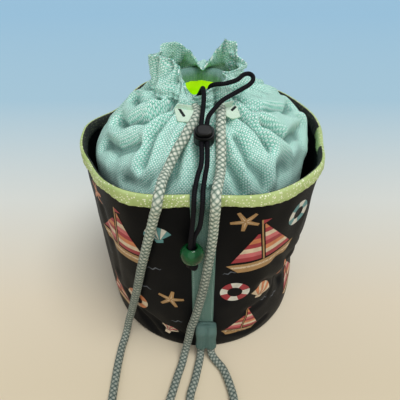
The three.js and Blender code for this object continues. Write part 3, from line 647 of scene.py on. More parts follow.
def moved(r, z, step, lift):
    """Point of the shoulder moved out of its surface by lift."""
    share = lift / np.hypot(step, 1 - step)
    return r + (1 - step) * share, z + step * share


# how far the front of the neck hangs lower, in mm, and the angle where it hangs lowest
DIP = 6.5
DIP_ANGLE = math.radians(-104)


def front_dip(points):
    """Lets the front of the gathered neck hang lower, where the drawcord comes out."""
    x, y, z = points[..., 0], points[..., 1], points[..., 2]
    away = angle_from(np.arctan2(y, x), DIP_ANGLE)
    low = DIP * np.exp(-((away / 0.36) ** 2))
    low = low * smooth((z - SHOULDER_TOP) / 11) * smooth((56 - np.hypot(x, y)) / 12)
    return np.stack([x, y, z - low], -1)


def shoulder_lift(theta, step, depth, fold):
    """How far the gathers and creases move the shoulder out of its plain shape."""
    r, _ = shoulder_point(theta, step)
    share = np.maximum(1 - (r - NECK_RADIUS) / 50, 0) ** 1.2
    x, y = r * np.cos(theta), r * np.sin(theta)
    creases = 0
    for line, width, deep in SHOULDER_FOLDS:
        path = []
        for angle, s in line:
            a = np.radians(angle)
            pr, _ = shoulder_point(np.array([a]), s)
            path.append((pr[0] * math.cos(a), pr[0] * math.sin(a)))
        creases = creases + crease(x, y, path, width, deep) * smooth(step * 5)
    wide = np.maximum(1 - (r - NECK_RADIUS) / 74, 0) * smooth(step * 3) * smooth((1.02 - step) * 4)
    swell = 1.8 * np.sin(7 * theta + 0.8 + 1.2 * np.sin(3 * theta)) * wide
    uneven = 1.3 * lumps(x, y, 8, 46) * smooth(step * 4) * (1 - 0.5 * share)
    return depth * share * fold + creases + swell + uneven


# mm up the flat canvas in each of its parts
BELLY_UP = 187
SHOULDER_UP = 95
CASING_UP = 13
RUFFLE_UP = 26


def bag_grid(columns, rows, depth):
    """Points of the canvas bag from the floor to the edge of the ruffle, in mm."""
    theta = full_turn(columns)
    belly, shoulder, casing, ruffle = rows // 8, rows // 2, rows // 8, rows // 4
    rounds, v = [], []

    def put(r, z, far):
        rounds.append(polar(r, theta, z))
        v.append(far)

    fold, fine = gather(theta), fine_gather(theta)
    far = 0.0
    for t in np.linspace(0, 1, belly, endpoint=False):
        r = FLOOR_RADIUS + (belly_radius(theta) - FLOOR_RADIUS) * smooth(t)
        put(r, FLOOR_CLOTH_TOP + (SHOULDER_FOOT - FLOOR_CLOTH_TOP) * t, far + BELLY_UP * t)
    far += BELLY_UP
    for step in np.linspace(0, 1, shoulder, endpoint=False):
        r, z = shoulder_point(theta, step)
        lift = shoulder_lift(theta, step, depth, 0.9 * fold + 0.3 * fine)
        put(*moved(r, z, step, lift), far + SHOULDER_UP * step)
    far += SHOULDER_UP
    rise, lean, full = edge_at(RUFFLE_EDGE, theta)
    for t in np.linspace(0, 1, casing, endpoint=False):
        puff = 1.2 * math.sin(math.pi * min(t / 0.45, 1)) + 1.0 * math.sin(math.pi * max(t - 0.5, 0) / 0.5)
        r = NECK_RADIUS - 1.25 * t + full * smooth(t * 3)
        r = r + depth * (fold * (1 - 0.15 * math.sin(math.pi * t)) + 0.25 * fine) + puff
        put(r, CASING_FOOT + (CASING_TOP - CASING_FOOT) * t, far + CASING_UP * t)
    far += CASING_UP
    hem = 0.65 * np.cos(5 * theta + 0.9) + 0.35 * np.cos(9 * theta + 2.4)
    x = angle_from(theta, FRONT)
    for t in np.linspace(0, 1, ruffle):
        ease = smooth(np.array(t))
        flare = depth * (fold + 0.25 * fine) * (1 - ease) + 2.5 * hem * ease + 0.5 * fine * t
        r = 36.9 + full + lean * np.sin(t * math.pi / 2) + flare
        up = RUFFLE_HEIGHT * t + 0 * x
        for line, width, deep in RUFFLE_FOLDS:
            flat = [
                (np.degrees(angle_from(math.radians(a), FRONT)) * RUFFLE_TURN, h * RUFFLE_HEIGHT)
                for a, h in line
            ]
            r = r + crease(np.degrees(x) * RUFFLE_TURN, up, flat, width, deep) * smooth(t * 4)
        r = r + 0.8 * lumps(x * 38, up, 21, 16) * smooth(t * 3)
        roll = 0.9 * max(t - 0.72, 0) / 0.28
        z = CASING_TOP + rise * t + roll * np.sin(4 * theta)
        put(r + 0.5 * (t > 0.93), z, far + RUFFLE_UP * t)
    return theta, front_dip(np.stack(rounds, 1)), np.array(v)


# radius and height of the lining's lip, where it turns out over the drawcord
LINING_LIP = [(20.6, 258.4), (21.6, 260.0), (23.4, 260.7), (26, 260.9), (28.4, 260.6)]
# height in metres from which the lining is faced with canvas
FACING_FOOT = 0.2515
CANVAS_TONES = [
    (0.2, (0.085, 0.3, 0.24)), (0.45, (0.27, 0.67, 0.55)), (0.75, (0.56, 0.98, 0.84)),
    (1.0, (0.86, 1.0, 0.95)),
]


def canvas_look(cell, deep=(1, 1, 1), drawn=True):
    """Mint canvas; deep is a factor on its threads' colours, used as painted shade on pieces in shade, and
    drawn follows how far it is gathered and darkens the folds' valleys as painted shade.
    """
    look = Look("mint_canvas", (0.3, 0.57, 0.47), 0.85)
    look.shader.inputs["Specular IOR Level"].default_value = 0.25
    weave, over = look.basket(cell, drawn)
    slub = look.noise(650, 2)
    height = look.math("ADD", weave, look.math("MULTIPLY", look.math("SUBTRACT", slub, 0.5), 0.9))
    light = look.math("ADD", height, look.math("MULTIPLY", over, 0.34))
    tones = [(at, tuple(c * d for c, d in zip(colour, deep))) for at, colour in CANVAS_TONES]
    threads = look.ramp(light, tones)
    patchy = look.noise(30, 3)
    cloth = look.mix(look.math("MULTIPLY", patchy, 0.12), threads, tones[2][1])
    if drawn:
        # painted shade: the canvas goes up to 60 % of the way to a dark teal where it lies deep in a fold
        valley = look.math("MULTIPLY", look.uv("Share")[1], 0.6)
        cloth = look.mix(valley, cloth, (0.03, 0.115, 0.1))
    look.colour(cloth)
    look.bump(height, 0.0005, 0.8)
    return look


def lime_look():
    look = Look("lime_lining", (0.5, 0.78, 0.01), 0.75)
    # painted light: the lime lining glows a little, so that it stays bright deep in the bag's mouth
    look.shader.inputs["Emission Color"].default_value = (0.48, 0.75, 0.0, 1)
    look.shader.inputs["Emission Strength"].default_value = 0.3
    look.colour(look.ramp(look.noise(50), [(0.3, (0.46, 0.72, 0.0)), (0.7, (0.58, 0.86, 0.01))]))
    look.bump(look.weave(0.0005), 0.0001, 0.4)
    return look


def drawn_share(points):
    """How far the canvas is drawn together at each point, 1 where it lies flat."""
    return np.hypot(points[..., 0], points[..., 1]) / CANVAS_TURN


class BAG_OT_canvas(bpy.types.Operator):
    """Gathered canvas bag and its lining."""

    bl_idname = "bag.canvas"
    bl_label = "Canvas bag"

    def execute(self, context):
        cloth = context.scene.bag_cloth
        depth = cloth.gather_depth / MM
        theta, points, v = bag_grid(cloth.columns, cloth.rows, depth)
        u = round_u(theta, CANVAS_TURN)
        bag = cloth_grid("canvas_bag", points, u, v, True, CANVAS * 0.9, drawn_share(points))
        look = canvas_look(cloth.weave_cell)
        give(bag, look, replaces=["bag_body"])
        lining = self.lining(depth, look)
        hem = self.hem_stitches(theta, points)
        return {"FINISHED"}

    def lining(self, depth, facing):
        theta = full_turn(260)
        fold = 0.8 * gather(theta)
        rows = []
        for t in np.linspace(0, 1, 8, endpoint=False):
            rows.append((93.5 + (belly_radius(theta) - 3.2 - 93.5) * smooth(t), 3.6 + 186 * t))
        for step in np.linspace(0, 0.7, 20):
            r, z = shoulder_point(theta, step)
            valley = np.minimum(shoulder_lift(theta, step, depth, -1 + 0 * theta), 0)
            rows.append(moved(r, z, step, -(4.6 * smooth(step * 4) + 1.6 - valley)))
        r, z = rows[-1]
        rows += [(34.5, np.minimum(239.0, z + 2)), (23 + fold, 239.6), (20.4 + fold, 241.5)]
        for z in (245, 249, 251, 252, 254, 256.5):
            rows.append((20.2 + fold + 0.3 * fine_gather(theta), z))
        for r, z in LINING_LIP:
            rows.append((r + fold * (LINING_LIP[-1][0] - r) / 8, z))
        points = front_dip(np.stack([polar(r, theta, z) for r, z in rows], 1))
        v = np.linspace(0, 330, len(rows))
        u = round_u(theta, LINING_TURN)
        cloth = cloth_grid("lime_lining", points, u, v, True, 1.0, drawn_share(points))
        lime = lime_look()
        give(cloth, lime, replaces=["lining"])
        cloth.data.materials.append(facing.material)
        for face in cloth.data.polygons:
            face.material_index = int(face.center.z > FACING_FOOT)
        dress(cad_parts["lining_base"], lime)
        return cloth

    def hem_stitches(self, theta, points):
        row = points.shape[1] - 4
        path = np.vstack([points[:, row], points[:1, row]])
        out = polar(1.0, theta, 0.0)
        out = np.vstack([out, out[:1]])
        path = path + out * 0.1
        return stitches("hem_stitches", path, 3.2, 2.0, 0.5, out, (0.42, 0.66, 0.56))


ROPE_ROUTE = [
    (1.3, -119.9, 40), (1.3, -119.9, 24), (1.3, -119.9, 15), (0.9, -121.4, 11), (0.6, -124.4, 7.4),
    (0, -128.5, 5.2), (-1.5, -136, 4.4), (-5.1, -152.7, 4.4), (-9.8, -173, 4.4), (-5, -189, 4.4),
    (-4, -203, 4.4), (-10, -214, 4.4), (-19.6, -217.5, 4.4), (-29, -214, 4.4), (-35.5, -203, 4.4),
    (-34.5, -189, 4.4), (-29.4, -173, 4.4), (-22.7, -147.4, 4.4), (-18.6, -134, 5.2),
    (-16.3, -126, 10.5), (-13.5, -121.5, 21), (-11, -121.4, 36), (-8.9, -121.5, 50),
    (-5.2, -121.7, 65.2), (2.8, -122.8, 109.9), (7.7, -124.2, 151.2), (10.5, -125.1, 181.5),
    (11, -126.2, 196), (11.8, -128.2, 214), (12, -125.4, 222), (13.6, -116, 225.2), (15.8, -103, 226),
    (16.8, -91, 232), (16.8, -81.7, 240), (16.9, -70.1, 246.5), (17.4, -58, 251), (18.2, -46, 252.2),
    (18, -36, 251), (18.7, -27.8, 250.2), (19.3, -17.4, 250), (23.1, -11.9, 250), (25.4, -5.7, 250),
    (26, 0.9, 250), (24.9, 7.5, 250), (22.2, 13.5, 250), (18.1, 18.7, 250), (12.7, 22.7, 250),
    (6.6, 25.2, 250), (0, 26, 250), (-6.6, 25.2, 250), (-12.7, 22.7, 250), (-18.1, 18.7, 250),
    (-22.2, 13.5, 250), (-24.9, 7.5, 250), (-26, 0.9, 250), (-25.4, -5.7, 250), (-23.1, -11.9, 250),
    (-19.3, -17.4, 250), (-13, -26.5, 250.2), (-7, -34.5, 250.3), (-3.2, -43.5, 251.2),
    (-2.6, -53, 251), (-6, -64, 248.5), (-9.8, -70, 246), (-12.1, -75.3, 243), (-17.7, -82.2, 236.9),
    (-22.5, -88.4, 229.5), (-26.6, -96, 223.5), (-29.3, -108, 223), (-30.5, -118, 222),
    (-31.8, -124.5, 218.2), (-33.5, -125.5, 209), (-34.9, -124, 203.9), (-39.7, -121.2, 184.4),
    (-44.8, -119.1, 164.2), (-51.9, -115.1, 135.1), (-59.3, -109.6, 101), (-66, -104, 72),
    (-72.5, -98.5, 45), (-77.5, -96, 26), (-80.6, -98, 13), (-83, -105, 6), (-84.8, -113.5, 4.4),
    (-86.2, -136, 4.4), (-86.4, -173, 4.4), (-86, -196, 4.4), (-76, -217, 4.4), (-54, -234, 4.4),
    (-26, -240, 4.4), (2, -234, 4.4), (22, -218, 4.4), (33, -196, 4.4), (33.4, -173, 4.4),
    (30.3, -158, 4.4), (24, -140.5, 4.4), (18, -132.5, 4.5), (14, -127.3, 5.6), (12, -123.6, 7.9),
    (11.4, -121.3, 11.2), (11.3, -119.9, 15), (11.3, -119.9, 24), (11.3, -119.9, 40),
]
CORD_ROUTE = [
    (-7.8, -131.6, 151.3), (-7.8, -131.6, 164.3), (-7.8, -131.6, 173.8), (-7.4, -131.2, 182),
    (-6.2, -128.8, 192), (-5, -127, 207), (-4.6, -125, 217.5), (-3.9, -119.5, 223.2),
    (-1.6, -109.5, 229.5), (1, -102.1, 235.1), (1, -81, 248.5), (1, -73.4, 253.3), (2, -63, 258),
    (3, -53, 263.5), (3.2, -46, 267.5), (3, -40, 269.5), (2.4, -34, 269.5), (1, -29, 265.5),
    (-2.5, -26.8, 259.9), (-7, -26.1, 257.8), (-13, -23.7, 257.8), (-18.2, -19.9, 257.8),
    (-22.4, -15, 257.8), (-25.4, -9.2, 257.8), (-26.8, -2.9, 257.8), (-26.8, 3.5, 257.8),
    (-25.2, 9.8, 257.8), (-22.1, 15.5, 257.8), (-17.8, 20.3, 257.8), (-12.5, 23.9, 257.8),
    (-6.4, 26.2, 257.8), (0, 27, 257.8), (6.4, 26.2, 257.8), (12.5, 23.9, 257.8), (17.8, 20.3, 257.8),
    (22.1, 15.5, 257.8), (25.2, 9.8, 257.8), (26.8, 3.5, 257.8), (26.8, -2.9, 257.8),
    (25.4, -9.2, 257.8), (22.4, -15, 257.8), (18.2, -19.9, 257.8), (13, -23.7, 257.8),
    (7, -26.1, 257.8), (8, -27.6, 262.4), (9, -31.4, 267.6), (12, -35, 270.6), (21, -37.5, 272.2),
    (31, -33.5, 273.6), (37.5, -26, 275.2), (42, -24.8, 275.4), (44.8, -26.6, 274.2), (45, -30, 272),
    (42, -34, 270), (36, -39, 268.4), (28, -46, 267), (18, -54, 264.5), (11.5, -61, 260.5),
    (7, -67, 257), (5.5, -73.4, 253.3), (5.5, -81, 248.5), (5.5, -102.1, 235.1), (4, -109.5, 229.5),
    (2.4, -119.5, 223.3), (2.1, -125, 217.6), (1.4, -127, 207), (-0.5, -127.8, 192), (-4.4, -128, 182),
    (-5.4, -127.8, 173.8), (-5.4, -127.8, 164.3), (-5.4, -127.8, 151.3),
]
BEAD = (-6.6, -129.72, 164.3)
BEAD_RADIUS = 10
KNOT_TOP = 155.28
STRIP_CENTRE = 3
STRIP_FOOT = 50.3
# the tab's middle across, the y of its back, its depth, and how square its section is
TAB = (6.3, -114.19, 11.4)
TAB_SQUARE = 3.2


# braid of the rope: mm for one round of a strand, and how many strands lie each way
PITCH = 9.4
STRANDS = 4
# the rope's colour is painted darker lower down and on the floor than on the bag's shoulder, as painted shade
ROPE_TONES_HIGH = [
    (0.25, (0.1, 0.16, 0.12)), (0.46, (0.23, 0.31, 0.25)), (0.66, (0.46, 0.53, 0.44)),
    (0.9, (0.82, 0.85, 0.72)),
]
ROPE_TONES_SHADED = [
    (0.25, (0.045, 0.07, 0.06)), (0.46, (0.1, 0.135, 0.115)), (0.66, (0.21, 0.245, 0.205)),
    (0.9, (0.42, 0.44, 0.37)),
]
# pitch of the drawcord's ribs in metres
RIB = 0.0015


class BAG_OT_cords(bpy.types.Operator):
    """Rope straps and the thin drawcord with its bead and knot."""

    bl_idname = "bag.cords"
    bl_label = "Cords"

    def execute(self, context):
        sizes = context.scene.bag_cords
        self.rope(sizes.rope / MM / 2)
        self.drawcord(sizes.drawcord / MM / 2)
        return {"FINISHED"}

    def rope(self, radius):
        path = route_through(ROPE_ROUTE, 1.1)

        def surface(s, a):
            one = np.abs(np.sin(STRANDS * a / 2 + math.pi * s / PITCH * STRANDS / 2))
            two = np.abs(np.sin(STRANDS * a / 2 - math.pi * s / PITCH * STRANDS / 2))
            return radius * (0.88 + 0.12 * np.sqrt(one * two))

        rope = tube("strap_rope", path, surface, 24)
        look = Look("rope_braid", (0.5, 0.56, 0.45), 0.8)
        u, v = look.uv()
        turn = look.math("MULTIPLY", v, math.pi * STRANDS)
        along = look.math("MULTIPLY", u, math.pi / (PITCH * MM) * STRANDS / 2)
        one = look.math("ABSOLUTE", look.math("SINE", look.math("ADD", turn, along)))
        two = look.math("ABSOLUTE", look.math("SINE", look.math("SUBTRACT", turn, along)))
        crown = look.math("POWER", look.math("MULTIPLY", one, two), 0.6)
        flecks = look.noise(380, 3)
        tone = look.math("ADD", look.math("MULTIPLY", crown, 0.6), look.math("MULTIPLY", flecks, 0.55))
        # painted shade: the braid's colours go from the dark tones up to 0.12 m to the pale tones from 0.22
        # m, darker towards the floor
        high = look.ramp(tone, ROPE_TONES_HIGH)
        low = look.ramp(tone, ROPE_TONES_SHADED)
        rise = look.math("DIVIDE", look.math("SUBTRACT", look.place()[2], 0.12), 0.1, clamp=True)
        look.colour(look.mix(rise, low, high))
        look.bump(look.math("ADD", crown, look.math("MULTIPLY", look.noise(1600, 2), 0.4)), 0.0004, 0.7)
        give(rope, look, replaces=["shoulder_rope"])

    def drawcord(self, radius):
        path = front_dip(route_through(CORD_ROUTE, 0.7))

        def surface(s, a):
            return radius * (0.93 + 0.07 * np.abs(np.sin(math.pi * s * MM / RIB + a)))

        cord = tube("black_drawcord", path, surface, 14)
        look = Look("black_cord", (0.012, 0.012, 0.018), 0.62)
        u, v = look.uv()
        along = look.math("MULTIPLY", u, 2 * math.pi / RIB)
        rib = look.math("SINE", look.math("ADD", along, look.math("MULTIPLY", v, 4 * math.pi)))
        look.colour(look.ramp(look.math("ADD", look.math("MULTIPLY", rib, 0.4), 0.5), [
            (0.2, (0.0015, 0.0015, 0.0025)), (0.8, (0.009, 0.0085, 0.012)),
        ]))
        look.shader.inputs["Specular IOR Level"].default_value = 0.12
        look.bump(rib, 0.0002, 0.5)
        give(cord, look, replaces=["drawcord"])
        knot = self.knot(look)
        bead = self.bead()

    def knot(self, look):
        turns = np.linspace(0, 1, 120)
        a = turns * 2 * math.pi
        x = 2.6 * np.sin(2 * a) * 0.9 + 1.2 * np.sin(a)
        y = 2.4 * np.cos(2 * a + 0.6) * 0.8
        z = 2.4 * np.sin(3 * a) - 4.4
        path = np.stack([BEAD[0] + x, BEAD[1] + y, KNOT_TOP + z], 1)[:-2]
        knot = tube("cord_knot", path, lambda s, r: 1.95 + 0 * s + 0.12 * np.abs(np.sin(s * 2 + r)), 12)
        return give(knot, look)

    def bead(self):
        reach = math.acos(4.9 / BEAD_RADIUS)
        profile = [
            (BEAD_RADIUS * math.cos(t), BEAD_RADIUS * math.sin(t))
            for t in np.linspace(-reach, reach, 28)
        ]
        rim = BEAD_RADIUS * math.sin(reach)
        profile += [(4.6, rim - 0.3), (4.5, rim * 0.5), (4.5, 0), (4.5, -rim * 0.5), (4.6, -rim + 0.3)]
        count, along = 48, len(profile)
        r, z = np.array(profile).T
        points = np.array(BEAD) + polar(r[None], full_turn(count)[:, None], z[None])
        faces = []
        for i in range(count):
            here, beside = i * along, (i + 1) % count * along
            for j in range(along):
                above = (j + 1) % along
                faces.append((here + j, beside + j, beside + above, here + above))
        bead = finished_mesh("glass_bead", points.reshape(-1, 3) * MM, faces)
        look = Look("green_bead", (0.004, 0.06, 0.018), 0.12)
        look.shader.inputs["Specular IOR Level"].default_value = 0.3
        look.shader.inputs["Coat Weight"].default_value = 0.1
        look.shader.inputs["Coat Roughness"].default_value = 0.03
        cloudy = look.noise(120, 2)
        look.colour(look.ramp(cloudy, [(0.3, (0.002, 0.03, 0.008)), (0.7, (0.006, 0.09, 0.024))]))
        give(bead, look, replaces=["bead"])
        return bead


def patch_look():
    """Pale mint cloth of the eyelet patches."""
    colour = (0.62, 0.87, 0.64)
    look = Look("patch_cloth", colour, 0.75)
    weave, over = look.basket(0.0007)
    slubs = look.math("MULTIPLY", look.noise(500, 2), 0.4)
    grain = look.math("ADD", look.math("MULTIPLY", weave, 0.6), slubs)
    grain = look.math("ADD", grain, look.math("MULTIPLY", over, 0.15))
    shade = tuple(c * 0.8 for c in colour)
    shine = tuple(min(c * 1.5, 0.95) for c in colour)
    look.colour(look.ramp(grain, [(0.2, shade), (0.6, colour), (0.9, shine)]))
    look.bump(weave, 0.0003, 0.5)
    return look


def stitches(name, path, spacing, stitch, width, ups, colour):
    """Thread stitches along a path in mm, each a small spindle lying on the cloth."""
    far = distances(path)
    vertices, faces = [], []
    for start in np.arange(spacing / 2, far[-1] - stitch, spacing):
        mid = np.array([np.interp(start + stitch / 2, far, path[:, k]) for k in range(3)])
        end = np.array([np.interp(start + stitch, far, path[:, k]) for k in range(3)])
        up = np.array([np.interp(start + stitch / 2, far, ups[:, k]) for k in range(3)])
        run = (end - mid) / max(np.linalg.norm(end - mid), 1e-6)
        side = np.cross(run, up)
        first = len(vertices)
        for t in (-1, -0.6, 0, 0.6, 1):
            swell = math.sqrt(max(1 - t * t, 0.05)) * width / 2
            for k in range(5):
                a = k * 2 * math.pi / 5
                out = side * math.cos(a) + up * math.sin(a)
                vertices.append(mid + run * t * stitch / 2 + out * swell)
        for j in range(4):
            for k in range(5):
                a, b = first + j * 5 + k, first + j * 5 + (k + 1) % 5
                faces.append((a, b, b + 5, a + 5))
        faces.append(tuple(first + k for k in range(5))[::-1])
        faces.append(tuple(first + 20 + k for k in range(5)))
    made = finished_mesh(name, np.array(vertices) * MM, faces)
    look = Look(name + "_thread", colour, 0.6)
    look.colour(look.ramp(look.noise(400), [(0.3, tuple(c * 0.7 for c in colour)), (0.7, colour)]))
    return give(made, look)


# y and height in metres past which the strip lies on the canvas and is as pale as the canvas; the rest of the
# strip is painted darker as painted shade
STRIP_PALE = (-0.113, 0.213)
# the strip's way over the rim: mm out of the wall, and mm above the wall's top
OVER_RIM = [
    (3.2, -10.5), (4.1, -8.5), (4.3, -4), (4.2, 0.5), (3.2, 2.6), (1, 4.0), (-2, 4.2), (-4.5, 3.9),
]


class BAG_OT_trim(bpy.types.Operator):
    """Front strip, bottom tab, eyelet patches and the cord lock's plastic."""

    bl_idname = "bag.trim"
    bl_label = "Trim"

    def execute(self, context):
        self.strip()
        self.tab()
        left = [(-107, -99), (-115, -95.5), (-118, -97.5), (-114, -99)]
        right = [(-64, -57), (-75, -53), (-75, -49), (-74, -50)]
        self.patch("left_patch", "eyelet_patch_left", left, -107, 48, 5.2)
        self.patch("right_patch", "eyelet_patch_right", right, -58, -24, 2.6)
        self.lock()
        return {"FINISHED"}

    def strip(self):
        x = np.linspace(-10.5, 10.5, 25) + STRIP_CENTRE
        theta = FRONT + np.arctan2(x, RIM_RADIUS)
        top = rim_top(theta)
        rows, v = [], []
        edge = 0.35 * (1 - np.abs(np.linspace(-1, 1, 25)) ** 6)
        wall_rows = 90
        for t in np.linspace(0, 1, wall_rows):
            z = STRIP_FOOT + (top - 13 - STRIP_FOOT) * t
            wave = 0.5 * np.sin(t * 26) * math.exp(-((t - 0.25) / 0.2) ** 2)
            rows.append((wall_radius(theta, z) + 1.35 + edge + wave * (0.5 + 0.5 * np.cos(x * 0.2)), z))
            v.append(t * 153)
        for lift, up in OVER_RIM:
            z = top + up
            rows.append((wall_radius(theta, np.minimum(z, top)) + lift + edge, z))
            v.append(v[-1] + 3)
        for step in np.linspace(0.22, 0.4, 10):
            r, z = shoulder_point(theta, step)
            lift = shoulder_lift(theta, step, 6, 0.9 * gather(theta) + 0.3 * fine_gather(theta))
            rows.append(moved(r, z, step, lift + 1.2 + edge))
            v.append(v[-1] + 2.4)
        points = np.stack([polar(r, theta, z) for r, z in rows], 1)
        strip = cloth_grid("seam_strip", points, x, np.array(v), False, 1.2)
        # painted shade: the strip's part on the wall is the mint canvas darkened to about a quarter
        look = canvas_look(0.0014, (0.25, 0.28, 0.27), drawn=False)
        give(strip, look, replaces=["front_strip"])
        strip.data.materials.append(canvas_look(0.0014, drawn=False).material)
        for face in strip.data.polygons:
            past = face.center.y > STRIP_PALE[0] and face.center.z > STRIP_PALE[1]
            face.material_index = int(past)
        for name, column in (("strip_stitch_left", 2), ("strip_stitch_right", 22)):
            out = polar(np.ones(wall_rows), theta[column], 0.0)
            path = points[column, :wall_rows] + out * 0.15
            stitches(name, path, 3.0, 2.1, 0.45, out, (0.42, 0.62, 0.55))

    def tab(self):
        centre, back, depth = TAB
        turn = full_turn(72)
        rows, v = [], []
        for t in np.linspace(0, 1, 26):
            z = 16 + 34 * t
            pinch = 1 - 0.28 * smooth((t - 0.72) / 0.28)
            flare = 1 + 0.03 * math.cos(t * 9)
            c, d = np.cos(turn), np.sin(turn)
            swell = (np.abs(c) ** TAB_SQUARE + np.abs(d) ** TAB_SQUARE) ** (-1 / TAB_SQUARE)
            hx = 10.6 * swell * c * flare
            hy = depth / 2 * swell * d * pinch
            dent = 1.7 * np.exp(-((hx / 1.6) ** 2)) * (d < 0)
            rows.append(np.stack([centre + hx, back - depth / 2 * pinch - 0.1 + hy + dent, z + 0 * c], -1))
            v.append(34 * t)
        points = np.stack(rows, 1)
        u = round_u(turn, 9)
        tab = cloth_grid("rope_tab", points, u, np.array(v), True, 0.9)
        # painted shade: the tab and its top are the mint canvas darkened to about a fifth
        look = canvas_look(0.0013, (0.2, 0.22, 0.22), drawn=False)
        give(tab, look, replaces=["bottom_tab"])
        cap = points[:, -1]
        middle = cap.mean(0)
        rings = [
            middle + (cap - middle) * share + np.array([0, 0, up])
            for share, up in ((0.6, 0.5), (0.05, 0.6))
        ]
        top = cloth_grid("tab_top", np.stack([cap, *rings], 1), u, np.array([0, 4, 8]), True, 0.8)
        give(top, look)

    def patch(self, name, node, spread, slot_angle, slot_turn, slot_reach):
        """Patch on the canvas, with a slot painted dark as painted shade; spread gives its two sides' angles
        at four rows.
        """
        rows = [(61.0, 246.6), (49.0, 251.9), (44.15, 251.5), (44.2, 256.2)]
        lift = [(1.7, 3.0), (2.3, 2.5), (2.9, 0.6), (2.7, 0)]
        rows = [(r + out, z + up) for (r, z), (out, up) in zip(rows, lift)]

        def place(k, theta):
            r = np.interp(k, range(4), [row[0] for row in rows])
            z = np.interp(k, range(4), [row[1] for row in rows])
            return polar(r, theta, z)

        across, along = 60, 72
        k = np.linspace(0, 3, along)
        low = np.radians(np.interp(k, range(4), [angles[0] for angles in spread]))
        high = np.radians(np.interp(k, range(4), [angles[1] for angles in spread]))
        t = np.linspace(0, 1, across)[:, None]
        points = place(k[None] + 0 * t, low * (1 - t) + high * t)
        theta = math.radians(slot_angle)
        middle = place(np.array(0.78), np.array(theta))
        east = np.array([-math.sin(theta), math.cos(theta), 0])
        uphill = place(np.array(1.0), np.array(theta)) - place(np.array(0.0), np.array(theta))
        uphill /= np.linalg.norm(uphill)
        turn = math.radians(slot_turn)
        run = east * math.cos(turn) - uphill * math.sin(turn)
        away = points - middle
        beside = away @ (east * math.sin(turn) + uphill * math.cos(turn))
        past = np.maximum(np.abs(away @ run) - slot_reach, 0)
        near = np.hypot(beside, past)
        press = np.exp(-(((near - 2.1) / 0.7) ** 2)) * 0.4 - 0.2 * np.exp(-((near / 0.9) ** 4))
        points = points + press[..., None] * np.array([0, 0, 1.0])
        faces, corners = grid_faces(across, along, False)
        slot = near.ravel()[faces].mean(1) < 1.15
        uv = np.stack([corners[..., 0] * 0.4, corners[..., 1] * 0.4], -1) * MM
        patch = finished_mesh(name, points.reshape(-1, 3) * MM, faces, uv.reshape(-1, 2))
        solid = patch.modifiers.new("thickness", "SOLIDIFY")
        solid.thickness = 1.5 * MM
        solid.offset = -1
        patch.data.materials.append(None)
        patch.data.materials.append(None)
        patch.data.polygons.foreach_set("material_index", slot.astype(np.int32))
        apply_modifiers(patch)
        marks = [face.material_index for face in patch.data.polygons]
        give(patch, patch_look(), replaces=[node])
        # painted shade: the slot is a shallow dip painted near black, standing for the shade inside an
        # opening
        gap = Look("slot_gap", (0.006, 0.012, 0.012), 0.9)
        gap.bump(gap.noise(400, 2), 0.0001, 0.3)
        patch.data.materials.append(gap.material)
        patch.data.polygons.foreach_set("material_index", marks)

    def lock(self):
        look = Look("black_plastic", (0.003, 0.003, 0.0035), 0.35)
        look.shader.inputs["Specular IOR Level"].default_value = 0.2
        look.bump(look.noise(900, 2), 0.00005, 0.3)
        worn = look.noise(200)
        look.colour(look.ramp(worn, [(0.3, (0.002, 0.002, 0.0025)), (0.7, (0.005, 0.005, 0.006))]))
        for node in ("lock_body", "lock_plunger"):
            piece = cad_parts[node]
            dress(piece, look)
            bevel = piece.modifiers.new("edges", "BEVEL")
            bevel.width = 0.0003
            bevel.segments = 2
            bevel.limit_method = "ANGLE"
            bevel.angle_limit = math.radians(35)
        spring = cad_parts["lock_spring"]
        steel = Look("spring_steel", (0.55, 0.56, 0.58), 0.3, Metallic=1.0)
        steel.bump(steel.noise(2000, 2), 0.00002, 0.2)
        dress(spring, steel)
        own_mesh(spring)


INKS = {
    "red": (0.36, 0.02, 0.035), "pink": (0.62, 0.14, 0.15), "orange": (0.62, 0.21, 0.08),
    "cream": (0.72, 0.58, 0.4), "teal": (0.1, 0.3, 0.31), "white": (0.72, 0.71, 0.62),
    "tan": (0.42, 0.24, 0.09), "grey": (0.1, 0.12, 0.15),
}


def band(left, right, low, high):
    """Part of a sail between two heights; left and right give its edges at a height."""
    heights = np.linspace(low, high, 4)
    return [(left(h), h) for h in heights] + [(right(h), h) for h in heights[::-1]]


def boat(w):
    """Generic boat with two striped sails, w wide."""
    shapes = []
    hull = [(-0.5, 0.0), (0.52, 0.02), (0.36, -0.17), (-0.36, -0.17)]
    shapes.append(("tan", hull))
    shapes.append(("cream", [(-0.45, -0.045), (0.47, -0.04), (0.43, -0.08), (-0.41, -0.085)]))
    inks = ["red", "cream", "orange", "red", "pink", "cream", "red", "orange"]

    def large_edge(height):
        return 0.03 + 0.42 * (0.75 - height) / 0.7

    def small_edge(height):
        return -0.03 - 0.4 * (0.6 - height) / 0.55

    for k, ink in enumerate(inks):
        low, high = 0.05 + k * 0.085, 0.05 + (k + 1) * 0.085
        shapes.append((ink, band(lambda h: 0.03, large_edge, low, min(high, 0.73))))
        if high < 0.62:
            other = inks[(k + 3) % len(inks)]
            shapes.append((other, band(small_edge, lambda h: -0.03, low, high)))
    shapes.append(("tan", [(-0.012, 0.02), (0.012, 0.02), (0.01, 0.82), (-0.01, 0.82)]))
    shapes.append(("red", [(0.01, 0.74), (0.12, 0.785), (0.01, 0.82)]))
    return [(ink, [(x * w, y * w) for x, y in shape]) for ink, shape in shapes]


def ring(w, inks=("red", "white")):
    """Life ring in eight coloured parts."""
    shapes = []
    for k in range(8):
        turn = np.radians(np.linspace(k * 45 + 8, k * 45 + 53, 6))
        outer = [(0.5 * w * math.cos(t), 0.5 * w * math.sin(t)) for t in turn]
        inner = [(0.25 * w * math.cos(t), 0.25 * w * math.sin(t)) for t in turn[::-1]]
        shapes.append((inks[k % 2], outer + inner))
    return shapes


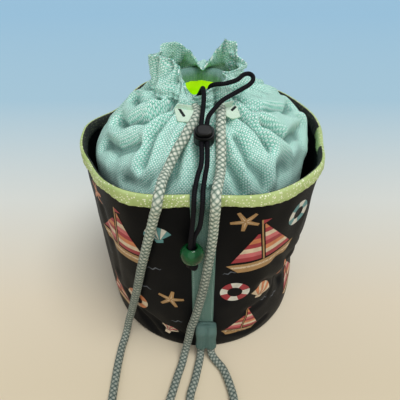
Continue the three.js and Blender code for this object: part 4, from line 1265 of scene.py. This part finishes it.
def shell(w, inks=("cream", "pink")):
    """Scallop shell in radial bands."""
    shapes = []
    edges = np.radians(np.linspace(20, 160, 8))
    for k in range(7):
        turn = np.linspace(edges[k], edges[k + 1], 4)
        rim = [(0.5 * w * math.cos(t) * 1.02, 0.62 * w * math.sin(t) - 0.2 * w) for t in turn]
        shapes.append((inks[k % 2], [(0.05 * w * math.cos(turn[0]), -0.2 * w), *rim]))
    foot = [(-0.16, -0.18), (0.16, -0.18), (0.12, -0.32), (-0.12, -0.32)]
    shapes.append((inks[0], [(x * w, y * w) for x, y in foot]))
    return shapes


def star(w, inks=("orange", "cream")):
    """Starfish with a lighter line along each arm."""
    outline = []
    for k in range(10):
        r = (0.56 if k % 2 == 0 else 0.17) * w
        a = math.pi / 2 + k * math.pi / 5
        for turn in (-0.12, 0.0, 0.12) if k % 2 == 0 else (0.0,):
            outline.append((r * math.cos(a + turn), r * math.sin(a + turn)))
    shapes = [(inks[0], outline)]
    for k in range(5):
        a = math.pi / 2 + k * 2 * math.pi / 5
        c, d = math.cos(a), math.sin(a)
        shapes.append((inks[1], [
            (0.06 * w * c - 0.02 * w * d, 0.06 * w * d + 0.02 * w * c), (0.38 * w * c, 0.38 * w * d),
            (0.06 * w * c + 0.02 * w * d, 0.06 * w * d - 0.02 * w * c),
        ]))
    return shapes


def ripple(w, ink="grey"):
    """Small wave stroke."""
    x = np.linspace(-0.5, 0.5, 9)
    y = 0.1 * np.sin(x * 4 * math.pi)
    thick = 0.05 * np.cos(x * math.pi) + 0.012
    top = [(a * w, (b + t) * w) for a, b, t in zip(x, y, thick)]
    low = [(a * w, (b - t) * w) for a, b, t in zip(x[::-1], y[::-1], thick[::-1])]
    return [(ink, top + low)]


MOTIFS = [
    # maker, x round from the front, height, turn in degrees, size in mm, inks
    (boat, 54, 138, 8, 64, None), (ring, 32, 96, 10, 27, ("red", "white")),
    (shell, 60, 84, -20, 27, ("cream", "orange")), (star, 92, 96, 15, 24, ("orange", "cream")),
    (boat, 44, 26, -8, 44, None), (ripple, 88, 52, 10, 13, None),
    (ring, 86, 176, 0, 25, ("teal", "white")), (ripple, 104, 128, -12, 12, None),
    (ripple, 26, 124, 14, 12, None), (star, 34, 190, 30, 20, ("tan", "cream")),
    (ripple, 70, 60, -8, 12, None), (boat, -76, 140, -6, 62, None),
    (shell, -34, 172, 14, 25, ("teal", "white")), (ripple, -40, 128, 10, 13, None),
    (star, -28, 84, -12, 23, ("tan", "cream")), (ripple, -52, 96, -10, 13, None),
    (ring, -66, 66, 5, 26, ("orange", "cream")), (ripple, -24, 46, 12, 12, None),
    (boat, -104, 34, 10, 44, None), (shell, -34, 24, -24, 22, ("cream", "pink")),
    (ripple, -108, 104, 8, 12, None), (star, -104, 184, 0, 22, ("orange", "cream")),
]
REPEAT = 236.7


def placed_shapes():
    """Every printed shape as (ink, layer, outline) on the flat cloth, in mm."""
    shapes = []
    for repeat in (-1, 0, 1):
        for maker, x, z, turn, size, inks in MOTIFS:
            parts = maker(size) if inks is None else maker(size, inks)
            a = math.radians(turn)
            for layer, (ink, outline) in enumerate(parts):
                spot = []
                for px, pz in outline:
                    across = x + repeat * REPEAT + px * math.cos(a) - pz * math.sin(a)
                    spot.append((across, z + px * math.sin(a) + pz * math.cos(a)))
                shapes.append((ink, layer, spot))
    return shapes


class BAG_OT_print(bpy.types.Operator):
    """Printed motifs, as thin flat shapes that lie on the wall cloth."""

    bl_idname = "bag.print"
    bl_label = "Print"

    def execute(self, context):
        names = list(INKS)
        flat = bmesh.new()
        tag = flat.faces.layers.int.new("ink")
        level = flat.verts.layers.float.new("level")
        for ink, layer, outline in placed_shapes():
            corners = [flat.verts.new((x, z, 0)) for x, z in outline]
            for corner in corners:
                corner[level] = 0.1 + 0.012 * min(layer, 9)
            face = flat.faces.new(corners)
            face.normal_update()
            face[tag] = names.index(ink)
        for _ in range(4):
            bmesh.ops.triangulate(flat, faces=flat.faces[:])
            long_edges = [e for e in flat.edges if e.calc_length() > 4.5]
            if long_edges:
                bmesh.ops.subdivide_edges(flat, edges=long_edges, cuts=1)
        bmesh.ops.triangulate(flat, faces=flat.faces[:])
        x = np.array([v.co.x for v in flat.verts])
        z = np.array([v.co.y for v in flat.verts])
        lift = np.array([v[level] for v in flat.verts])
        theta = FRONT + x / WALL_TURN
        z = np.clip(z, 1, rim_top(theta) - 9)
        points = wall_point(theta, z, lift)
        for vertex, point in zip(flat.verts, points):
            vertex.co = Vector(point * MM)
        inks = [face[tag] for face in flat.faces]
        mesh = bpy.data.meshes.new("print")
        flat.to_mesh(mesh)
        flat.free()
        mesh.polygons.foreach_set("material_index", inks)
        mesh.polygons.foreach_set("use_smooth", [True] * len(mesh.polygons))
        made = bpy.data.objects.new("print", mesh)
        context.scene.collection.objects.link(made)
        for name in names:
            look = Look("ink_" + name, INKS[name], 0.5)
            faded = tuple(c * 0.75 for c in INKS[name])
            look.colour(look.ramp(look.noise(160, 3), [(0.3, faded), (0.7, INKS[name])]))
            made.data.materials.append(look.material)
        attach(made, "bag")
        return {"FINISHED"}


# the floor's colour from the sand in front to the blue at the back
FLOOR_TONES = [
    (0.03, (0.74, 0.64, 0.46)), (0.1, (0.77, 0.68, 0.52)), (0.23, (0.72, 0.74, 0.69)),
    (0.35, (0.55, 0.67, 0.71)), (0.47, (0.4, 0.6, 0.72)), (0.92, (0.33, 0.56, 0.74)),
]


class BAG_OT_stage(bpy.types.Operator):
    """Camera, floor and soft light."""

    bl_idname = "bag.stage"
    bl_label = "Stage"

    def execute(self, context):
        settings = context.scene.bag_stage
        data = bpy.data.cameras.new("camera")
        data.lens = settings.lens
        data.sensor_width = 36
        camera = bpy.data.objects.new("camera", data)
        camera.location = settings.camera_place
        camera.rotation_euler = (math.pi / 2 - settings.pitch, 0, 0)
        context.scene.collection.objects.link(camera)
        context.scene.camera = camera
        self.floor()
        self.light(context, settings)
        context.scene.view_settings.view_transform = "Standard"
        return {"FINISHED"}

    def floor(self):
        reach = 6.0
        corners = [(x * reach, y * reach, 0) for x, y in ((-1, -1), (1, -1), (1, 1), (-1, 1))]
        ground = finished_mesh("floor", corners, [(0, 1, 2, 3)])
        look = Look("floor", (0.7, 0.63, 0.5), 0.9)
        far = look.math("MULTIPLY", look.math("ADD", look.place()[1], 0.2), 1 / 1.5)
        look.colour(look.ramp(far, FLOOR_TONES))
        ground.data.materials.append(look.material)

    def light(self, context, settings):
        world = bpy.data.worlds.new("studio")
        world.use_nodes = True
        even = world.node_tree.nodes["Background"]
        even.inputs[0].default_value = (0.95, 0.97, 1, 1)
        even.inputs[1].default_value = settings.sky
        context.scene.world = world
        for name, place, power, spread in (
            ("key", (0.25, -0.26, 1.0), settings.key_power, 30),
            ("fill", (-0.1, -0.9, 0.5), settings.key_power * 0.42, 70),
        ):
            data = bpy.data.lights.new(name, "SUN")
            data.energy = power
            data.angle = math.radians(spread)
            lamp = bpy.data.objects.new(name, data)
            lamp.location = place
            lamp.rotation_euler = (-Vector(place)).to_track_quat("-Z", "Y").to_euler()
            context.scene.collection.objects.link(lamp)


class BAG_PT_panel(bpy.types.Panel):
    """Settings and buttons of the bag."""

    bl_idname = "BAG_PT_panel"
    bl_label = "Drawstring bucket bag"
    bl_space_type = "VIEW_3D"
    bl_region_type = "UI"
    bl_category = "Bag"

    def draw(self, context):
        layout = self.layout
        for group, buttons in (
            (context.scene.bag_stage, ["bag.stage"]),
            (context.scene.bag_cloth, ["bag.wall", "bag.canvas", "bag.print"]),
            (context.scene.bag_cords, ["bag.cords", "bag.trim"]),
        ):
            box = layout.box()
            for name in group.__annotations__:
                box.prop(group, name)
            for button in buttons:
                box.operator(button)


CLASSES = [
    BagStageSettings, BagClothSettings, BagCordSettings, BAG_OT_stage, BAG_OT_cords, BAG_OT_wall,
    BAG_OT_canvas, BAG_OT_trim, BAG_OT_print, BAG_PT_panel,
]


def register():
    for cls in CLASSES:
        bpy.utils.register_class(cls)
    bpy.types.Scene.bag_stage = PointerProperty(type=BagStageSettings)
    bpy.types.Scene.bag_cloth = PointerProperty(type=BagClothSettings)
    bpy.types.Scene.bag_cords = PointerProperty(type=BagCordSettings)


def unregister():
    del bpy.types.Scene.bag_cords
    del bpy.types.Scene.bag_cloth
    del bpy.types.Scene.bag_stage
    for cls in reversed(CLASSES):
        bpy.utils.unregister_class(cls)


def main():
    register()
    bpy.ops.bag.stage()
    bpy.ops.bag.cords()
    bpy.ops.bag.wall()
    bpy.ops.bag.canvas()
    bpy.ops.bag.trim()
    bpy.ops.bag.print()


if __name__ == "__main__":
    main()
